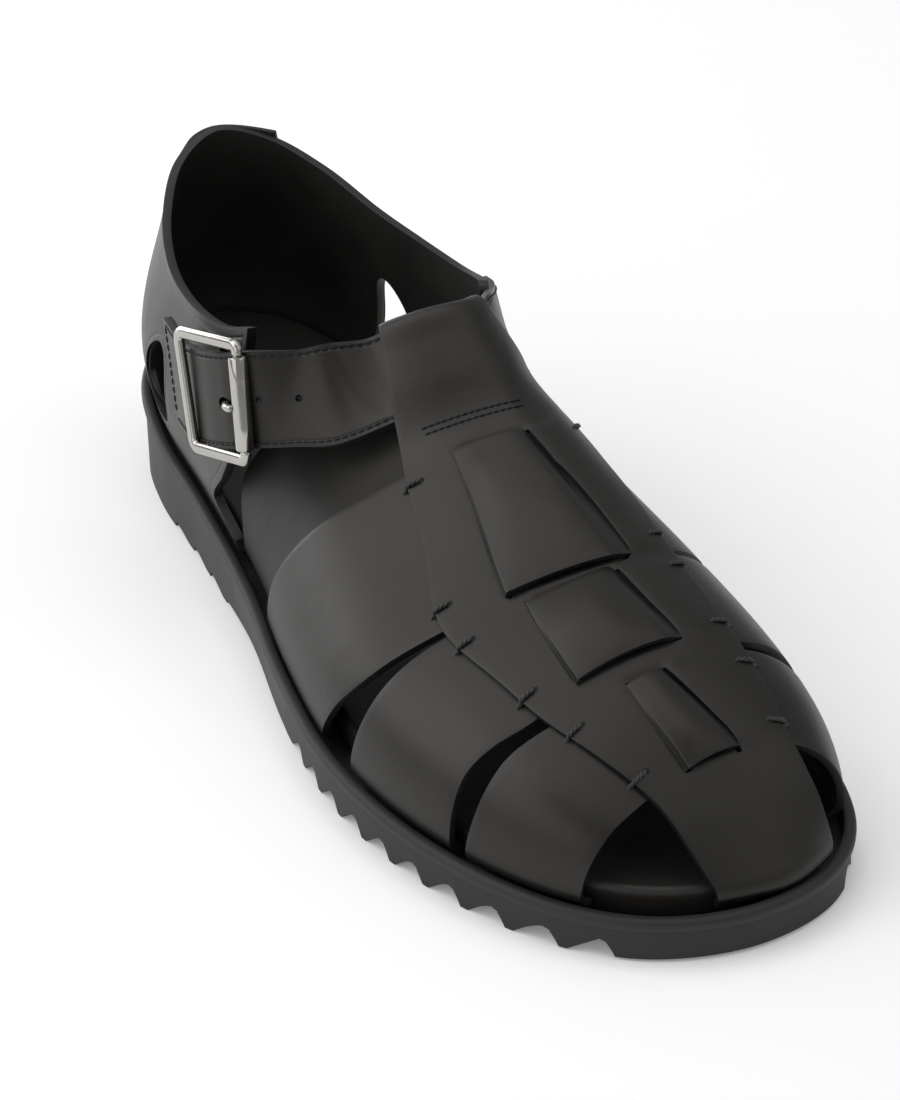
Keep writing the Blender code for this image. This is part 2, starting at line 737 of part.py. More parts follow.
def ribbon_path():
    """Mid line of the centre strap as (s, lift, half thickness), from the toe to the loop's flap."""
    mid = TONGUE_LOW + TONGUE_THICK / 2
    half = TONGUE_THICK / 2
    path = [(168.0, 1.0, 0.9), (166.0, 1.0, 0.9), (164.0, 1.0, half), (162.0, 1.0, half), (158.0, 1.1, half),
            (152.0, 1.5, half), (147.0, 2.1, half)]
    stops = []
    for k in (2, 1, 0):
        rear, front = crossing(k)
        stops += [front + (rear - front) * f for f in (-0.02, 0.12, 0.32, 0.5, 0.68, 0.88, 1.02)]
    path += [(s, mid, half) for s in stops]
    path += [(38.0, mid, half), (SEAM_S + 2.0, mid, half), (SEAM_S, mid + 0.2, half), (32.0, 3.7, 0.92),
             (30.0, 5.2, 0.86), (28.2, LOOP_OUTER - 0.1, LOOP_THICK / 2)]
    half = LOOP_THICK / 2
    path += [(s, LOOP_OUTER, half) for s in (23.0, 17.0, 11.0, LOOP_TOP_S + 0.4)]
    centre = 0.5 * (LOOP_OUTER + LOOP_FLAP)
    radius = 0.5 * (LOOP_OUTER - LOOP_FLAP)
    for k in range(1, 6):
        a = math.pi * k / 6
        path.append((LOOP_TOP_S - radius * math.sin(a), centre + radius * math.cos(a), half))
    path += [(s, LOOP_FLAP, half) for s in (LOOP_TOP_S + 0.4, 11.0, 17.0, 23.0, 27.0, FLAP_END_S)]
    return path


def make_tongue(group, mat):
    """Centre strap with three pairs of slits and a folded loop at its top."""
    path = ribbon_path()
    spans = [crossing(k) for k in range(3)]
    outer, inner, zone = [], [], []
    for i, (s, lift, half) in enumerate(path):
        p = path[max(i - 1, 0)]
        q = path[min(i + 1, len(path) - 1)]
        d = np.array([q[0] - p[0], q[1] - p[1]])
        d = d / np.linalg.norm(d)
        ns, nl = d[1], -d[0]
        left, right = tongue_edges(s)
        k = min(range(3), key=lambda m: abs(s - 0.5 * (spans[m][0] + spans[m][1])))
        sl, sm = slit_row(k, s, *spans[k])
        e = 0.5 * SLIT_WIDE
        if s < 36.0:
            sl, sm = left + 0.36 * (right - left), right - 0.36 * (right - left)
        if s > 142.0:
            sl, sm = left + 0.32 * (right - left), right - 0.40 * (right - left)
        ts = [left, 0.5 * (left + sl), sl - e, sl + e, sl + 0.33 * (sm - sl),
              sl + 0.67 * (sm - sl), sm - e, sm + e, 0.5 * (sm + right), right]
        outer.append([vamp_lift(s + ns * half, t, lift + nl * half) for t in ts])
        inner.append([vamp_lift(s - ns * half, t, lift - nl * half) for t in ts])
        zone.append(s)

    def keep(i, j):
        mid = 0.5 * (zone[i] + zone[i + 1])
        inside = any(rear - 0.6 < mid < front + 0.6 for rear, front in spans)
        flap = i > len(zone) - 13
        return not (inside and not flap and j in (2, 6))

    return add("woven_vamp", *shell(outer, inner, keep), group, mat)


def make_seam(group):
    """Sewn zone under the loop, where its flap meets the centre strap."""
    outer, inner = [], []
    for s in (FLAP_END_S - 2.0, FLAP_END_S + 1.0, SEAM_S, SEAM_S + 2.5):
        left, right = tongue_edges(s)
        ts = [left + (right - left) * f for f in (0.02, 0.25, 0.5, 0.75, 0.98)]
        outer.append([vamp_lift(s, t, 2.0 if s < SEAM_S - 2.0 else 2.6) for t in ts])
        inner.append([vamp_lift(s, t, 0.7) for t in ts])
    outer[1] = [vamp_lift(FLAP_END_S + 1.0, t, 3.2) for t in ts]
    return cutter(add("loop_seam", *shell(outer, inner), group))


def make_instep(group):
    """Plain band behind the weave, from sole to sole under the centre strap."""
    ts = [-1.10, -1.06, -1.02, -0.98, -0.92, -0.86, -0.78, -0.68, -0.58, -0.48, -0.36, -0.24, -0.12, 0.0]
    ts = ts + [-t for t in ts[-2::-1]]
    outer, inner = [], []
    for t in ts:
        rear = at(INSTEP_REAR, t)[0]
        row = [rear + (INSTEP_FRONT_S - rear) * f for f in (0.0, 0.25, 0.5, 0.75, 1.0)]
        outer.append([vamp_lift(s, t, INSTEP_HIGH) for s in row])
        inner.append([vamp_lift(s, t, INSTEP_LOW) for s in row])
    return cutter(add("instep_band", *shell(outer, inner), group))


def make_quarter(group, cutters, mat):
    """Heel cup with a rounded collar edge and a leg in front of each cut-out."""
    heights = [-0.075, -0.03, 0.02, 0.04, 0.07, 0.11, 0.17, 0.26, 0.38, 0.52, 0.68, 0.84, 0.95, 0.985]
    places = [-1.0, -0.96, -0.90, -0.83, -0.75, -0.67, -0.59, -0.51, -0.43, -0.35]
    places += [-0.27, -0.19, -0.13, -0.065, 0.0]
    places = places + [-p for p in places[-2::-1]]
    outer, inner = [], []
    for h in heights:
        front = linear(LEG_FRONT, h, 1)
        outer.append([quarter(p * front, h) for p in places])
        inner.append([quarter_lift(p * front, h, -QUARTER_THICK) for p in places])
    front = linear(LEG_FRONT, 1.0, 1)
    outer.append([quarter_lift(p * front, 1.0, -0.5) for p in places])
    inner.append([quarter_lift(p * front, 1.0, -QUARTER_THICK + 0.5) for p in places])
    obj = add("quarter", *shell(outer, inner), group, mat)
    boolean(obj, prism("cut_out_lateral", CUTOUT_LATERAL, -70.0, 0.0, cutters), 'DIFFERENCE')
    boolean(obj, prism("cut_out_medial", CUTOUT_MEDIAL, 0.0, 70.0, cutters), 'DIFFERENCE')
    return obj


def make_heel_tab(group, mat):
    """Overlay on the outside of the collar at the heel."""
    outer, inner = [], []
    for k in range(13):
        f = 2.0 * k / 12 - 1.0
        low = TAB_MID_H + (TAB_END_H - TAB_MID_H) * abs(f) ** 1.5
        top = 1.0 + TAB_RISE * f * f
        hs = [low + (top - low) * g for g in (0.0, 0.33, 0.67, 1.0)]
        w = TAB_LATERAL + (TAB_MEDIAL - TAB_LATERAL) * 0.5 * (1.0 + f)
        outer.append([quarter_lift(w, h, TAB_GAP + TAB_THICK) for h in hs])
        inner.append([quarter_lift(w, h, TAB_GAP) for h in hs])
    return add("heel_tab", *shell(outer, inner), group, mat)


def buckle_axes():
    along = np.array(BUCKLE_ALONG)
    along = along / np.linalg.norm(along)
    up = np.array(BUCKLE_UP)
    up = up - along * (up @ along)
    up = up / np.linalg.norm(up)
    return along, up, np.cross(along, up)


def buckle_point(a, u, n):
    """Point in the buckle's own axes: along the strap, up across it, and outward."""
    along, up, out = buckle_axes()
    return np.array(BUCKLE_CENTRE) + a * along + u * up + n * out


def strap_rows():
    """Top and bottom edges of the ankle strap from its free end to the medial point."""
    rows = [STRAP_FREE]
    for a, n, top, low in STRAP_RIDE:
        rows.append((*buckle_point(a, top, n), *buckle_point(a, low, n)))
    rows += STRAP_LATERAL
    for t in STRAP_TONGUE_T:
        top = vamp_lift(STRAP_TOP_S, t, STRAP_LIFT)
        low = vamp_lift(STRAP_LOW_S, t, STRAP_LIFT)
        rows.append((*top, *low))
    rows += STRAP_MEDIAL
    return [(float(k), *row) for k, row in enumerate(rows)]


STRAP = strap_rows()
STRAP_SAG = (vamp_lift(0.5 * (STRAP_TOP_S + STRAP_LOW_S), 0.0, STRAP_LIFT)
             - 0.5 * (vamp_lift(STRAP_TOP_S, 0.0, STRAP_LIFT) + vamp_lift(STRAP_LOW_S, 0.0, STRAP_LIFT)))


def strap_bow(k):
    """How far the strap's middle bows from the straight line between its edges."""
    first = 1 + len(STRAP_RIDE) + len(STRAP_LATERAL)
    last = first + len(STRAP_TONGUE_T) - 1
    if k < first:
        return max(0.0, 1.0 - (first - k) / 2.5)
    if k > last:
        return max(0.0, 1.0 - (k - last) / 2.5)
    return 1.0


def strap_point(k, f):
    """Mid-surface point of the strap: k along it, f across it from top to bottom."""
    edge = at(STRAP, k)
    top, low = edge[:3], edge[3:]
    return top + (low - top) * f + STRAP_SAG * strap_bow(k) * 4.0 * f * (1.0 - f)


def make_strap(group, cutters, mat):
    """Ankle strap, square at its free end and pointed where it is sewn to the medial side."""
    count = len(STRAP) - 1
    fs = [0.0, 0.17, 0.34, 0.5, 0.66, 0.83, 1.0]
    outer, inner = [], []
    for i in range(STRAP_ROWS):
        k = count * i / (STRAP_ROWS - 1)
        row_out, row_in = [], []
        for f in fs:
            p = strap_point(k, f)
            along = strap_point(min(k + 0.05, count), f) - strap_point(max(k - 0.05, 0.0), f)
            across = strap_point(k, min(f + 0.05, 1.0)) - strap_point(k, max(f - 0.05, 0.0))
            n = np.cross(along, across)
            n = n / np.linalg.norm(n)
            ahead = along / np.linalg.norm(along)
            reach = STRAP_POINT * max(0.0, i - STRAP_ROWS + 5) / 4.0
            p = p + ahead * reach * (1.0 - abs(2.0 * f - 1.0)) ** 0.9
            row_out.append(p + n * STRAP_THICK / 2)
            row_in.append(p - n * STRAP_THICK / 2)
        outer.append(row_out)
        inner.append(row_in)
    strap = add("ankle_strap", *shell(outer, inner), group, mat)
    shank = [(a, 0.0, n) for a, n, _ in PRONG]
    hole = tube(shank, [PRONG_HOLE] * len(shank), 10)
    boolean(strap, cutter(add("prong_hole", *hole, cutters)), 'DIFFERENCE')
    return strap


def tube(path, radii, segments, closed=False, up=(0.0, 1.0, 0.0), flat=1.0):
    """Points and faces of a bar swept along points in the buckle's axes, flattened toward up."""
    verts, faces = [], []
    pts = [np.array(p, float) for p in path]
    count = len(pts)
    for i, p in enumerate(pts):
        a = pts[i - 1] if closed or i > 0 else p
        b = pts[(i + 1) % count] if closed or i < count - 1 else p
        d = (b - a) / np.linalg.norm(b - a)
        side = np.cross(d, up)
        side = side / np.linalg.norm(side)
        normal = np.cross(side, d)
        for k in range(segments):
            g = 2 * math.pi * k / segments
            turn = math.cos(g) * side + flat * math.sin(g) * normal
            verts.append(buckle_point(*(p + radii[i] * turn)))
    for i in range(count if closed else count - 1):
        j = (i + 1) % count
        for k in range(segments):
            m = (k + 1) % segments
            faces.append((i * segments + k, i * segments + m, j * segments + m, j * segments + k))
    if not closed:
        faces.append(tuple(range(segments)))
        faces.append(tuple(range((count - 1) * segments, count * segments)))
    return verts, faces


def sleeve(a, n, inner, outer, low, high, segments):
    """Points and faces of a tube across the buckle."""
    verts, faces = [], []
    for radius, u in ((outer, low), (outer, high), (inner, high), (inner, low)):
        for k in range(segments):
            g = 2 * math.pi * k / segments
            verts.append(buckle_point(a + radius * math.cos(g), u, n + radius * math.sin(g)))
    for r in range(4):
        q = (r + 1) % 4
        for k in range(segments):
            m = (k + 1) % segments
            faces.append((r * segments + k, r * segments + m, q * segments + m, q * segments + k))
    return verts, faces


def frame_corners():
    """Points round the buckle frame, from the roller's top end to its low end."""
    corners = np.array(BUCKLE_CORNERS)
    path = []
    for i in range(4):
        place, turn = corners[i, :3], corners[i, 3]
        before = corners[i - 1, :3] - place
        after = corners[(i + 1) % 4, :3] - place
        before = before / np.linalg.norm(before)
        after = after / np.linalg.norm(after)
        for f in (0.0, 0.25, 0.5, 0.75, 1.0):
            path.append(place + turn * ((1.0 - f) ** 2 * before + f ** 2 * after))
    return path


def make_frame(group, cutters, mat):
    """Buckle frame with a thin front bar for the roller and a dropped centre bar."""
    front, top, out, _ = BUCKLE_CORNERS[0]
    low = BUCKLE_CORNERS[3][1]
    path = [(front, ROLLER_TOP, out), (front, ROLLER_TOP + SHOULDER, out)] + frame_corners()
    path += [(front, ROLLER_LOW - SHOULDER, out), (front, ROLLER_LOW, out)]
    radii = [FRONT_ROD] + [BUCKLE_ROD] * (len(path) - 2) + [FRONT_ROD]
    frame = add("buckle_frame", *tube(path, radii, 10, True, (0.0, 0.0, 1.0), BUCKLE_FLAT), group, mat)
    bend = [(0.0, low + inside, n) for inside, n in CENTRE_BAR]
    bend += [(0.0, top - inside, n) for inside, n in CENTRE_BAR[::-1]]
    bar = tube(bend, [CENTRE_ROD] * len(bend), 10, up=(1.0, 0.0, 0.0))
    boolean(frame, cutter(add("centre_bar", *bar, cutters)), 'UNION')
    return frame


def make_roller(group, mat):
    """Loose roller on the frame's front bar."""
    front, _, out, _ = BUCKLE_CORNERS[0]
    tube_ring = sleeve(front, out, ROLLER_IN, ROLLER_OUT, ROLLER_LOW + SHOULDER, ROLLER_TOP - SHOULDER, 16)
    return add("buckle_roller", *tube_ring, group, mat)


def make_prong(group, cutters, mat):
    """Prong on the centre bar, through the strap and onto the roller."""
    ring = sleeve(0.0, -CENTRE_DROP, SLEEVE_IN, SLEEVE_OUT, -SLEEVE_HALF, SLEEVE_HALF, 16)
    prong = add("buckle_prong", *ring, group, mat)
    shank = tube([(a, 0.0, n) for a, n, _ in PRONG], [r for _, _, r in PRONG], 10)
    boolean(prong, cutter(add("prong_shank", *shank, cutters)), 'UNION')
    return prong


def make_chape(group, cutters, mat):
    """Leather that holds the centre bar, hooked round it and laid on the quarter."""
    outer, inner = [], []
    for i, (a, n, slant) in enumerate(CHAPE):
        p = CHAPE[max(i - 1, 0)]
        q = CHAPE[min(i + 1, len(CHAPE) - 1)]
        d = np.array([q[0] - p[0], q[1] - p[1]])
        d = d / np.linalg.norm(d) * CHAPE_THICK / 2
        us = (-CHAPE_HALF, -CHAPE_HALF / 2, 0.0, CHAPE_HALF / 2, CHAPE_HALF)
        outer.append([buckle_point(a - d[1], u, n + slant * u + d[0]) for u in us])
        inner.append([buckle_point(a + d[1], u, n + slant * u - d[0]) for u in us])
    chape = add("buckle_chape", *shell(outer, inner), group, mat)
    corners = [(a, u, n) for a in (-5.6, 4.0) for u in (-CHAPE_SLOT, CHAPE_SLOT) for n in (-5.4, 2.0)]
    faces = [(0, 1, 3, 2), (4, 6, 7, 5), (0, 4, 5, 1), (2, 3, 7, 6), (0, 2, 6, 4), (1, 5, 7, 3)]
    slot = add("prong_slot", [buckle_point(*c) for c in corners], faces, cutters)
    boolean(chape, cutter(slot), 'DIFFERENCE')
    return chape


def build():
    for obj in list(bpy.data.objects):
        bpy.data.objects.remove(obj, do_unlink=True)
    parts = collection("woven_sandal")
    cutters = collection("cutters")
    rubber = material("rubber", (0.012, 0.012, 0.013), 0.62, 0.0)
    leather = material("leather", (0.016, 0.016, 0.017), 0.42, 0.0)
    lining = material("lining", (0.020, 0.019, 0.019), 0.60, 0.0)
    chrome = material("chrome", (0.80, 0.79, 0.77), 0.12, 1.0)
    make_outsole(parts, cutters, rubber)
    make_insole(parts, lining)
    vamp_obj = make_tongue(parts, leather)
    boolean(vamp_obj, make_seam(cutters), 'UNION')
    for k in range(3):
        boolean(vamp_obj, make_band(k, cutters), 'UNION')
    boolean(vamp_obj, make_instep(cutters), 'UNION')
    make_quarter(parts, cutters, leather)
    make_heel_tab(parts, leather)
    make_strap(parts, cutters, leather)
    make_frame(parts, cutters, chrome)
    make_roller(parts, chrome)
    make_prong(parts, cutters, chrome)
    make_chape(parts, cutters, leather)


build()
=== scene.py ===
"""Woven sandal: the finished looks of the right shoe, built around its solid frame."""
import math
from collections import namedtuple

import bmesh
import bpy
import numpy as np
from bpy.props import FloatProperty, FloatVectorProperty, PointerProperty
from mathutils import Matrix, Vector
from mathutils.kdtree import KDTree


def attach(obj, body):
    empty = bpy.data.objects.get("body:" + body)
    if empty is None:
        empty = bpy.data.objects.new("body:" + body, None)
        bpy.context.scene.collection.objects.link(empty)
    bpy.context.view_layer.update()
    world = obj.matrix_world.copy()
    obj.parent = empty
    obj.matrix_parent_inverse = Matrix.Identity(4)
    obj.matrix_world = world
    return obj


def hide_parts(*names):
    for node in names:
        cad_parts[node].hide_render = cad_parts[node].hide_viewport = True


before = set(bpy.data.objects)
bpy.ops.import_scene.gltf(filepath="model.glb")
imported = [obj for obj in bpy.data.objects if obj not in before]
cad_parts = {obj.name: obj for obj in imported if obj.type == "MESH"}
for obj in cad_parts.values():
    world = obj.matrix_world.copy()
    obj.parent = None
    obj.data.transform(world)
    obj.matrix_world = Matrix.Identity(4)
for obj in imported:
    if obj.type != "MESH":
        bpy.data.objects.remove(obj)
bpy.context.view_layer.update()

bl_info = {
    "name": "Woven sandal",
    "version": (1, 0, 0),
    "blender": (4, 5, 0),
    "location": "3D View > Sidebar > Sandal",
    "description": "Builds the leather, rubber, metal and thread of a woven sandal around its solid frame",
    "category": "Add Mesh",
}

# All shapes below are in millimetres; FRAME_X moves them into the frame.
MM = 0.001
FRAME_X = 1.85
BODY = "root"

# sole
SOLE_LENGTH = 300.0
TOE_APEX_X = 6.0
CHANNEL_DEEP = 4.6
CHANNEL_IN = 12.0
OUTLINE_STEPS = 14
SOLE_PLAN = [
    # u from heel end, lateral x, medial x
    (0.03, -17.9, 18.8),
    (0.09, -30.5, 29.8),
    (0.18, -37.0, 34.8),
    (0.30, -39.4, 32.8),
    (0.45, -44.0, 30.6),
    (0.58, -50.8, 37.5),
    (0.70, -54.0, 47.9),
    (0.80, -50.3, 50.3),
    (0.89, -40.6, 47.4),
    (0.95, -28.4, 39.1),
    (0.985, -14.2, 26.3),
]
RIM = [
    # y, rim height
    (-150.0, 10.5),
    (-100.0, 11.6),
    (-45.0, 13.5),
    (0.0, 16.0),
    (40.0, 18.3),
    (75.0, 20.5),
    (115.0, 25.0),
    (150.0, 30.0),
]
FOOT_OUT = [
    # y, reach of the tread's edge beyond the lip's crest
    (-155.0, 1.6),
    (-140.0, 1.2),
    (-118.0, 0.8),
    (-60.0, 0.5),
    (0.0, 0.0),
    (60.0, 0.2),
    (110.0, 0.5),
    (155.0, 0.7),
]
SPRING = [
    # y, bottom height
    (-155.0, 1.2),
    (-132.0, 0.3),
    (-118.0, 0.0),
    (155.0, 0.0),
]
LIP = [
    # outward from the crest, above the rim
    (0.7, -3.4),
    (1.0, -3.05),
    (1.45, -2.75),
    (1.7, -2.2),
    (1.7, -1.1),
    (1.45, -0.5),
    (0.95, -0.12),
    (0.3, 0.0),
    (-0.5, -0.02),
    (-1.0, -0.2),
    (-1.3, -0.7),
    (-1.5, -4.6),
]

# tread
FORE_TIP_Y = -32.5
FORE_PITCH = 11.2
FORE_GAPS = 10
TOE_GAP = 8.8
GAP_LOW = -3.0
GAP_REACH = 80.0
FORE_TOOTH = [
    # share of the pitch, height
    (0.04, GAP_LOW),
    (0.04, -0.6),
    (0.33, 2.2),
    (0.53, 3.6),
    (0.64, 4.0),
    (0.75, 3.5),
    (0.85, 1.8),
    (0.97, -0.6),
    (0.97, GAP_LOW),
]
HEEL_TIPS = [83.0, 67.5, 52.5, 37.5]
HEEL_STEP = [
    # distance ahead of the tip behind it, height
    (0.6, GAP_LOW),
    (0.6, -0.3),
    (2.0, 1.8),
    (3.6, 1.8),
]
HEEL_STEP_END = [
    # distance behind the next tip, height
    (1.0, -0.3),
    (1.0, GAP_LOW),
]
WAIST_BACK = 0.6
WAIST_FRONT = 2.0
WAIST_START = [
    # distance ahead of the back of the waist, height
    (0.0, GAP_LOW),
    (0.0, -0.4),
    (1.6, 1.3),
]
WAIST_RUN_IN = 2.0
WAIST_FLOOR = 1.3
WAIST_DEEP = 1.6
WAIST_STEPS = 24
WAIST_END = [-0.4, GAP_LOW]

# insole
INSOLE_LOW = -4.5
INSOLE_HIGH = 2.7
INSOLE_ROUND = 1.6
INSOLE_ROUND_STEPS = 5
INSOLE_GLOSS = 0.5
INSOLE_FOOT = (0.4, 0.6)
INSOLE_DISH = 1.2
INSOLE_SHARES = (0.9, 0.7, 0.45, 0.2)
INSOLE_SPINE = [
    # y, x of the line that the footbed's rings shrink toward
    (-92.0, 4.0),
    (0.0, -6.0),
    (100.0, 0.0),
]
INSOLE_INSET = [
    # y, distance of the insole's edge inside the lip's crest
    (-155.0, 6.3),
    (-110.0, 6.3),
    (-60.0, 7.6),
    (0.0, 8.0),
    (40.0, 5.0),
    (155.0, 4.6),
]

# vamp surface
WIDE_INSET = 3.0
WIDE_RISE = 2.0
FOOT_DROP = 0.9
TUCK = 4.0
TUCK_SPAN = 0.12
TOE_S = 162.0
TOE_TUCK = 10.0
TOE_GATHER = 60.0
SECTION_FAN = 1.7
VAMP_STEP = (0.5, 0.012)
VAMP = [
    # s, ridge x, ridge y, ridge z, lateral foot y, medial foot y, lateral power, medial power
    (0.0, 6.5, 4.0, 90.0, 44.0, 40.0, 1.8, 2.7),
    (12.0, 7.5, -5.0, 82.2, 32.0, 28.0, 1.8, 3.0),
    (26.0, 9.0, -17.5, 74.2, 17.0, 12.0, 1.8, 3.3),
    (42.0, 10.5, -33.0, 68.6, -3.0, -8.0, 1.75, 3.3),
    (62.0, 11.0, -51.5, 62.2, -27.0, -32.0, 1.7, 3.0),
    (85.0, 11.5, -73.5, 54.0, -61.0, -62.0, 1.75, 2.5),
    (113.0, 12.0, -102.5, 45.4, -107.0, -103.0, 1.95, 2.3),
    (127.0, 12.6, -115.5, 39.2, -124.0, -120.0, 2.2, 2.3),
    (141.0, 13.0, -128.0, 30.8, -135.0, -132.0, 2.3, 2.3),
    (152.0, 13.2, -138.0, 21.6, -139.5, -137.0, 2.3, 2.3),
    (162.0, 13.2, -146.3, 12.5, -142.5, -139.5, 2.2, 2.2),
]

# weave
BAND_THICK = 1.8
BAND_END = 1.08
BAND_GRID = 1.4
BAND_ROWS = 16
BAND_SAMPLES = 400
BAND_CENTRE = (0.0, -70.0, 10.0)
CROSS_FLUSH = 1.4
CROSS_BESIDE = 60.0
CROSS_BESIDE_RUN = 0.8
CROSS_PROUD = 1.3
CROSS_PROUD_CURVE = 1.5
CROSS_PROUD_RUN = 0.6
CROSS_SWELL = 2.3
CROSS_SWELL_CURVE = 0.8
CROSS_SWELL_FROM = 0.12
CROSS_SWELL_RUN = 0.80
CROSS_DIVE = 0.18
CROSS_LOW = 0.6
SIDE_SWELL = 1.7
SIDE_FROM = 0.10
SIDE_PEAK = 0.50
SIDE_TO = 0.86
STRIP_LIFT = 0.7
# Columns across the centre strap run from 0 to 5, with slits at 1 to 2 and at 3 to 4.
STRIP_FROM = 3.8
STRIP_EASE_IN = 0.2
STRIP_TO = 5.0
STRIP_EASE_OUT = 0.9
CROSS_DIP = 1.7
DIP_BEHIND = 1.5
DIP_REAR_RUN = 4.0
DIP_AHEAD = 0.5
DIP_FRONT_RUN = 3.0
DIP_FROM = 1.5
DIP_TO = 3.5
DIP_EASE = 0.4
TONGUE_LOW = 1.2
TONGUE_THICK = 2.0
TONGUE_WALL = 1.9
TONGUE_GRID = 1.1
TONGUE_CELLS = (11, 1, 18, 1, 11)
TONGUE_CENTRE = (8.0, -70.0, -40.0)
SLIT_EDGE = 0.0015
SLIT_UNDER = 0.022
SLIT_REAR = 0.4
SLIT_FRONT = 0.3
SLIT_FADE = 12.0
SLIT_SHARES = (0.34, 0.38)
SLIT_CLOSE = (0.0, 0.2, 0.4, 0.6, 0.85, 1.2, 1.7)
SLIT_CLEAR = 0.3
TONGUE = [
    # s, lateral edge, medial edge
    (-4.0, -0.215, 0.060),
    (12.0, -0.248, 0.108),
    (24.0, -0.291, 0.180),
    (40.0, -0.356, 0.270),
    (67.0, -0.411, 0.245),
    (87.0, -0.468, 0.222),
    (101.0, -0.450, 0.225),
    (114.0, -0.440, 0.235),
    (126.0, -0.408, 0.260),
    (139.0, -0.374, 0.330),
    (152.0, -0.345, 0.540),
    (162.0, -0.335, 0.780),
    (172.0, -0.330, 0.860),
]
BANDS = [
    # rear lateral slit, rear medial slit, front lateral slit, front medial slit
    (-0.236, -0.018, -0.306, 0.045),
    (-0.271, -0.023, -0.306, 0.023),
    (-0.191, -0.070, -0.190, 0.023),
]
BAND_EDGES = [
    # t, band 1 rear, band 1 front, band 2 rear, band 2 front, band 3 rear, band 3 front
    (-1.12, 44.0, 79.0, 89.5, 110.9, 113.8, 136.6),
    (-1.00, 43.0, 80.1, 89.7, 110.9, 114.0, 137.4),
    (-0.85, 42.6, 82.4, 89.8, 110.7, 114.6, 138.1),
    (-0.70, 43.5, 84.9, 89.1, 110.3, 114.7, 138.6),
    (-0.60, 43.5, 85.5, 88.3, 110.9, 114.6, 138.7),
    (-0.48, 43.5, 85.8, 87.6, 112.2, 115.3, 139.1),
    (-0.25, 42.3, 86.3, 89.6, 111.7, 117.4, 139.0),
    (0.03, 42.5, 86.1, 87.2, 111.2, 116.0, 138.0),
    (0.24, 43.5, 86.0, 87.3, 112.6, 114.8, 137.6),
    (0.48, 43.5, 85.5, 88.4, 111.2, 114.8, 137.2),
    (0.75, 43.0, 83.8, 89.5, 110.5, 114.7, 136.6),
    (1.00, 43.0, 81.0, 89.6, 110.9, 114.2, 135.4),
    (1.12, 43.5, 79.8, 89.4, 110.8, 113.9, 134.6),
]
DENTS = [
    # band, place between the slits, place from rear to front, spread across, spread along, height
    (0, 0.22, 0.26, 0.22, 0.22, 0.55),
    (0, 0.62, 0.42, 0.22, 0.20, -0.60),
    (0, 0.30, 0.86, 0.30, 0.12, 0.25),
    (1, 0.25, 0.40, 0.25, 0.30, 0.35),
    (1, 0.72, 0.55, 0.16, 0.28, -0.40),
    (2, 0.35, 0.78, 0.25, 0.16, 0.45),
    (2, 0.60, 0.40, 0.22, 0.22, -0.35),
]
INSTEP_HIGH = -0.2
INSTEP_THICK = 1.9
INSTEP_FRONT_S = 50.0
INSTEP_MIDDLE_S = 30.0
INSTEP_END = 1.1
INSTEP_COLUMNS = 24
INSTEP_ROWS = 120
INSTEP_CENTRE = (0.0, 0.0, 10.0)
INSTEP_REAR = [
    # t, rear edge s
    (-1.12, 17.0),
    (-1.00, 15.5),
    (-0.92, 12.0),
    (-0.85, 7.0),
    (-0.70, 7.0),
    (-0.45, 14.0),
    (-0.15, 20.0),
    (0.15, 20.0),
    (0.45, 14.0),
    (0.70, 8.0),
    (0.85, 8.0),
    (0.94, 13.0),
    (1.00, 15.5),
    (1.12, 17.0),
]

# loop of the centre strap
LOOP_OUTER = 6.0
LOOP_FLAP = 1.0
LOOP_MEDIAL_DROP = 1.3
LOOP_LEVEL = 0.4
LOOP_EDGE_S = 60.0
LOOP_FADE_S = 40.0
LOOP_FADE = 14.0
LOOP_TOP_S = 5.7
LOOP_BEND_GAP = 0.4
LOOP_BEND_STEPS = 8
LOOP_RISE_RUN = 23.0
LOOP_RISE_S = (41.0, 38.0, 35.0, 32.0, 29.0, 26.0, 23.0)
LOOP_OUTER_S = (17.0, 11.0)
LOOP_FLAP_S = (11.0, 17.0, 23.0, 27.0)
FLAP_END_S = 30.4
PLAIN_S = (141.0, 42.0, -4.0)
TOE_LIFT = [
    # s, lift of the centre strap's middle as it goes down behind the sole's lip
    (168.0, 1.0),
    (164.0, 1.0),
    (158.0, 1.1),
    (152.0, 1.5),
    (147.0, 2.0),
]

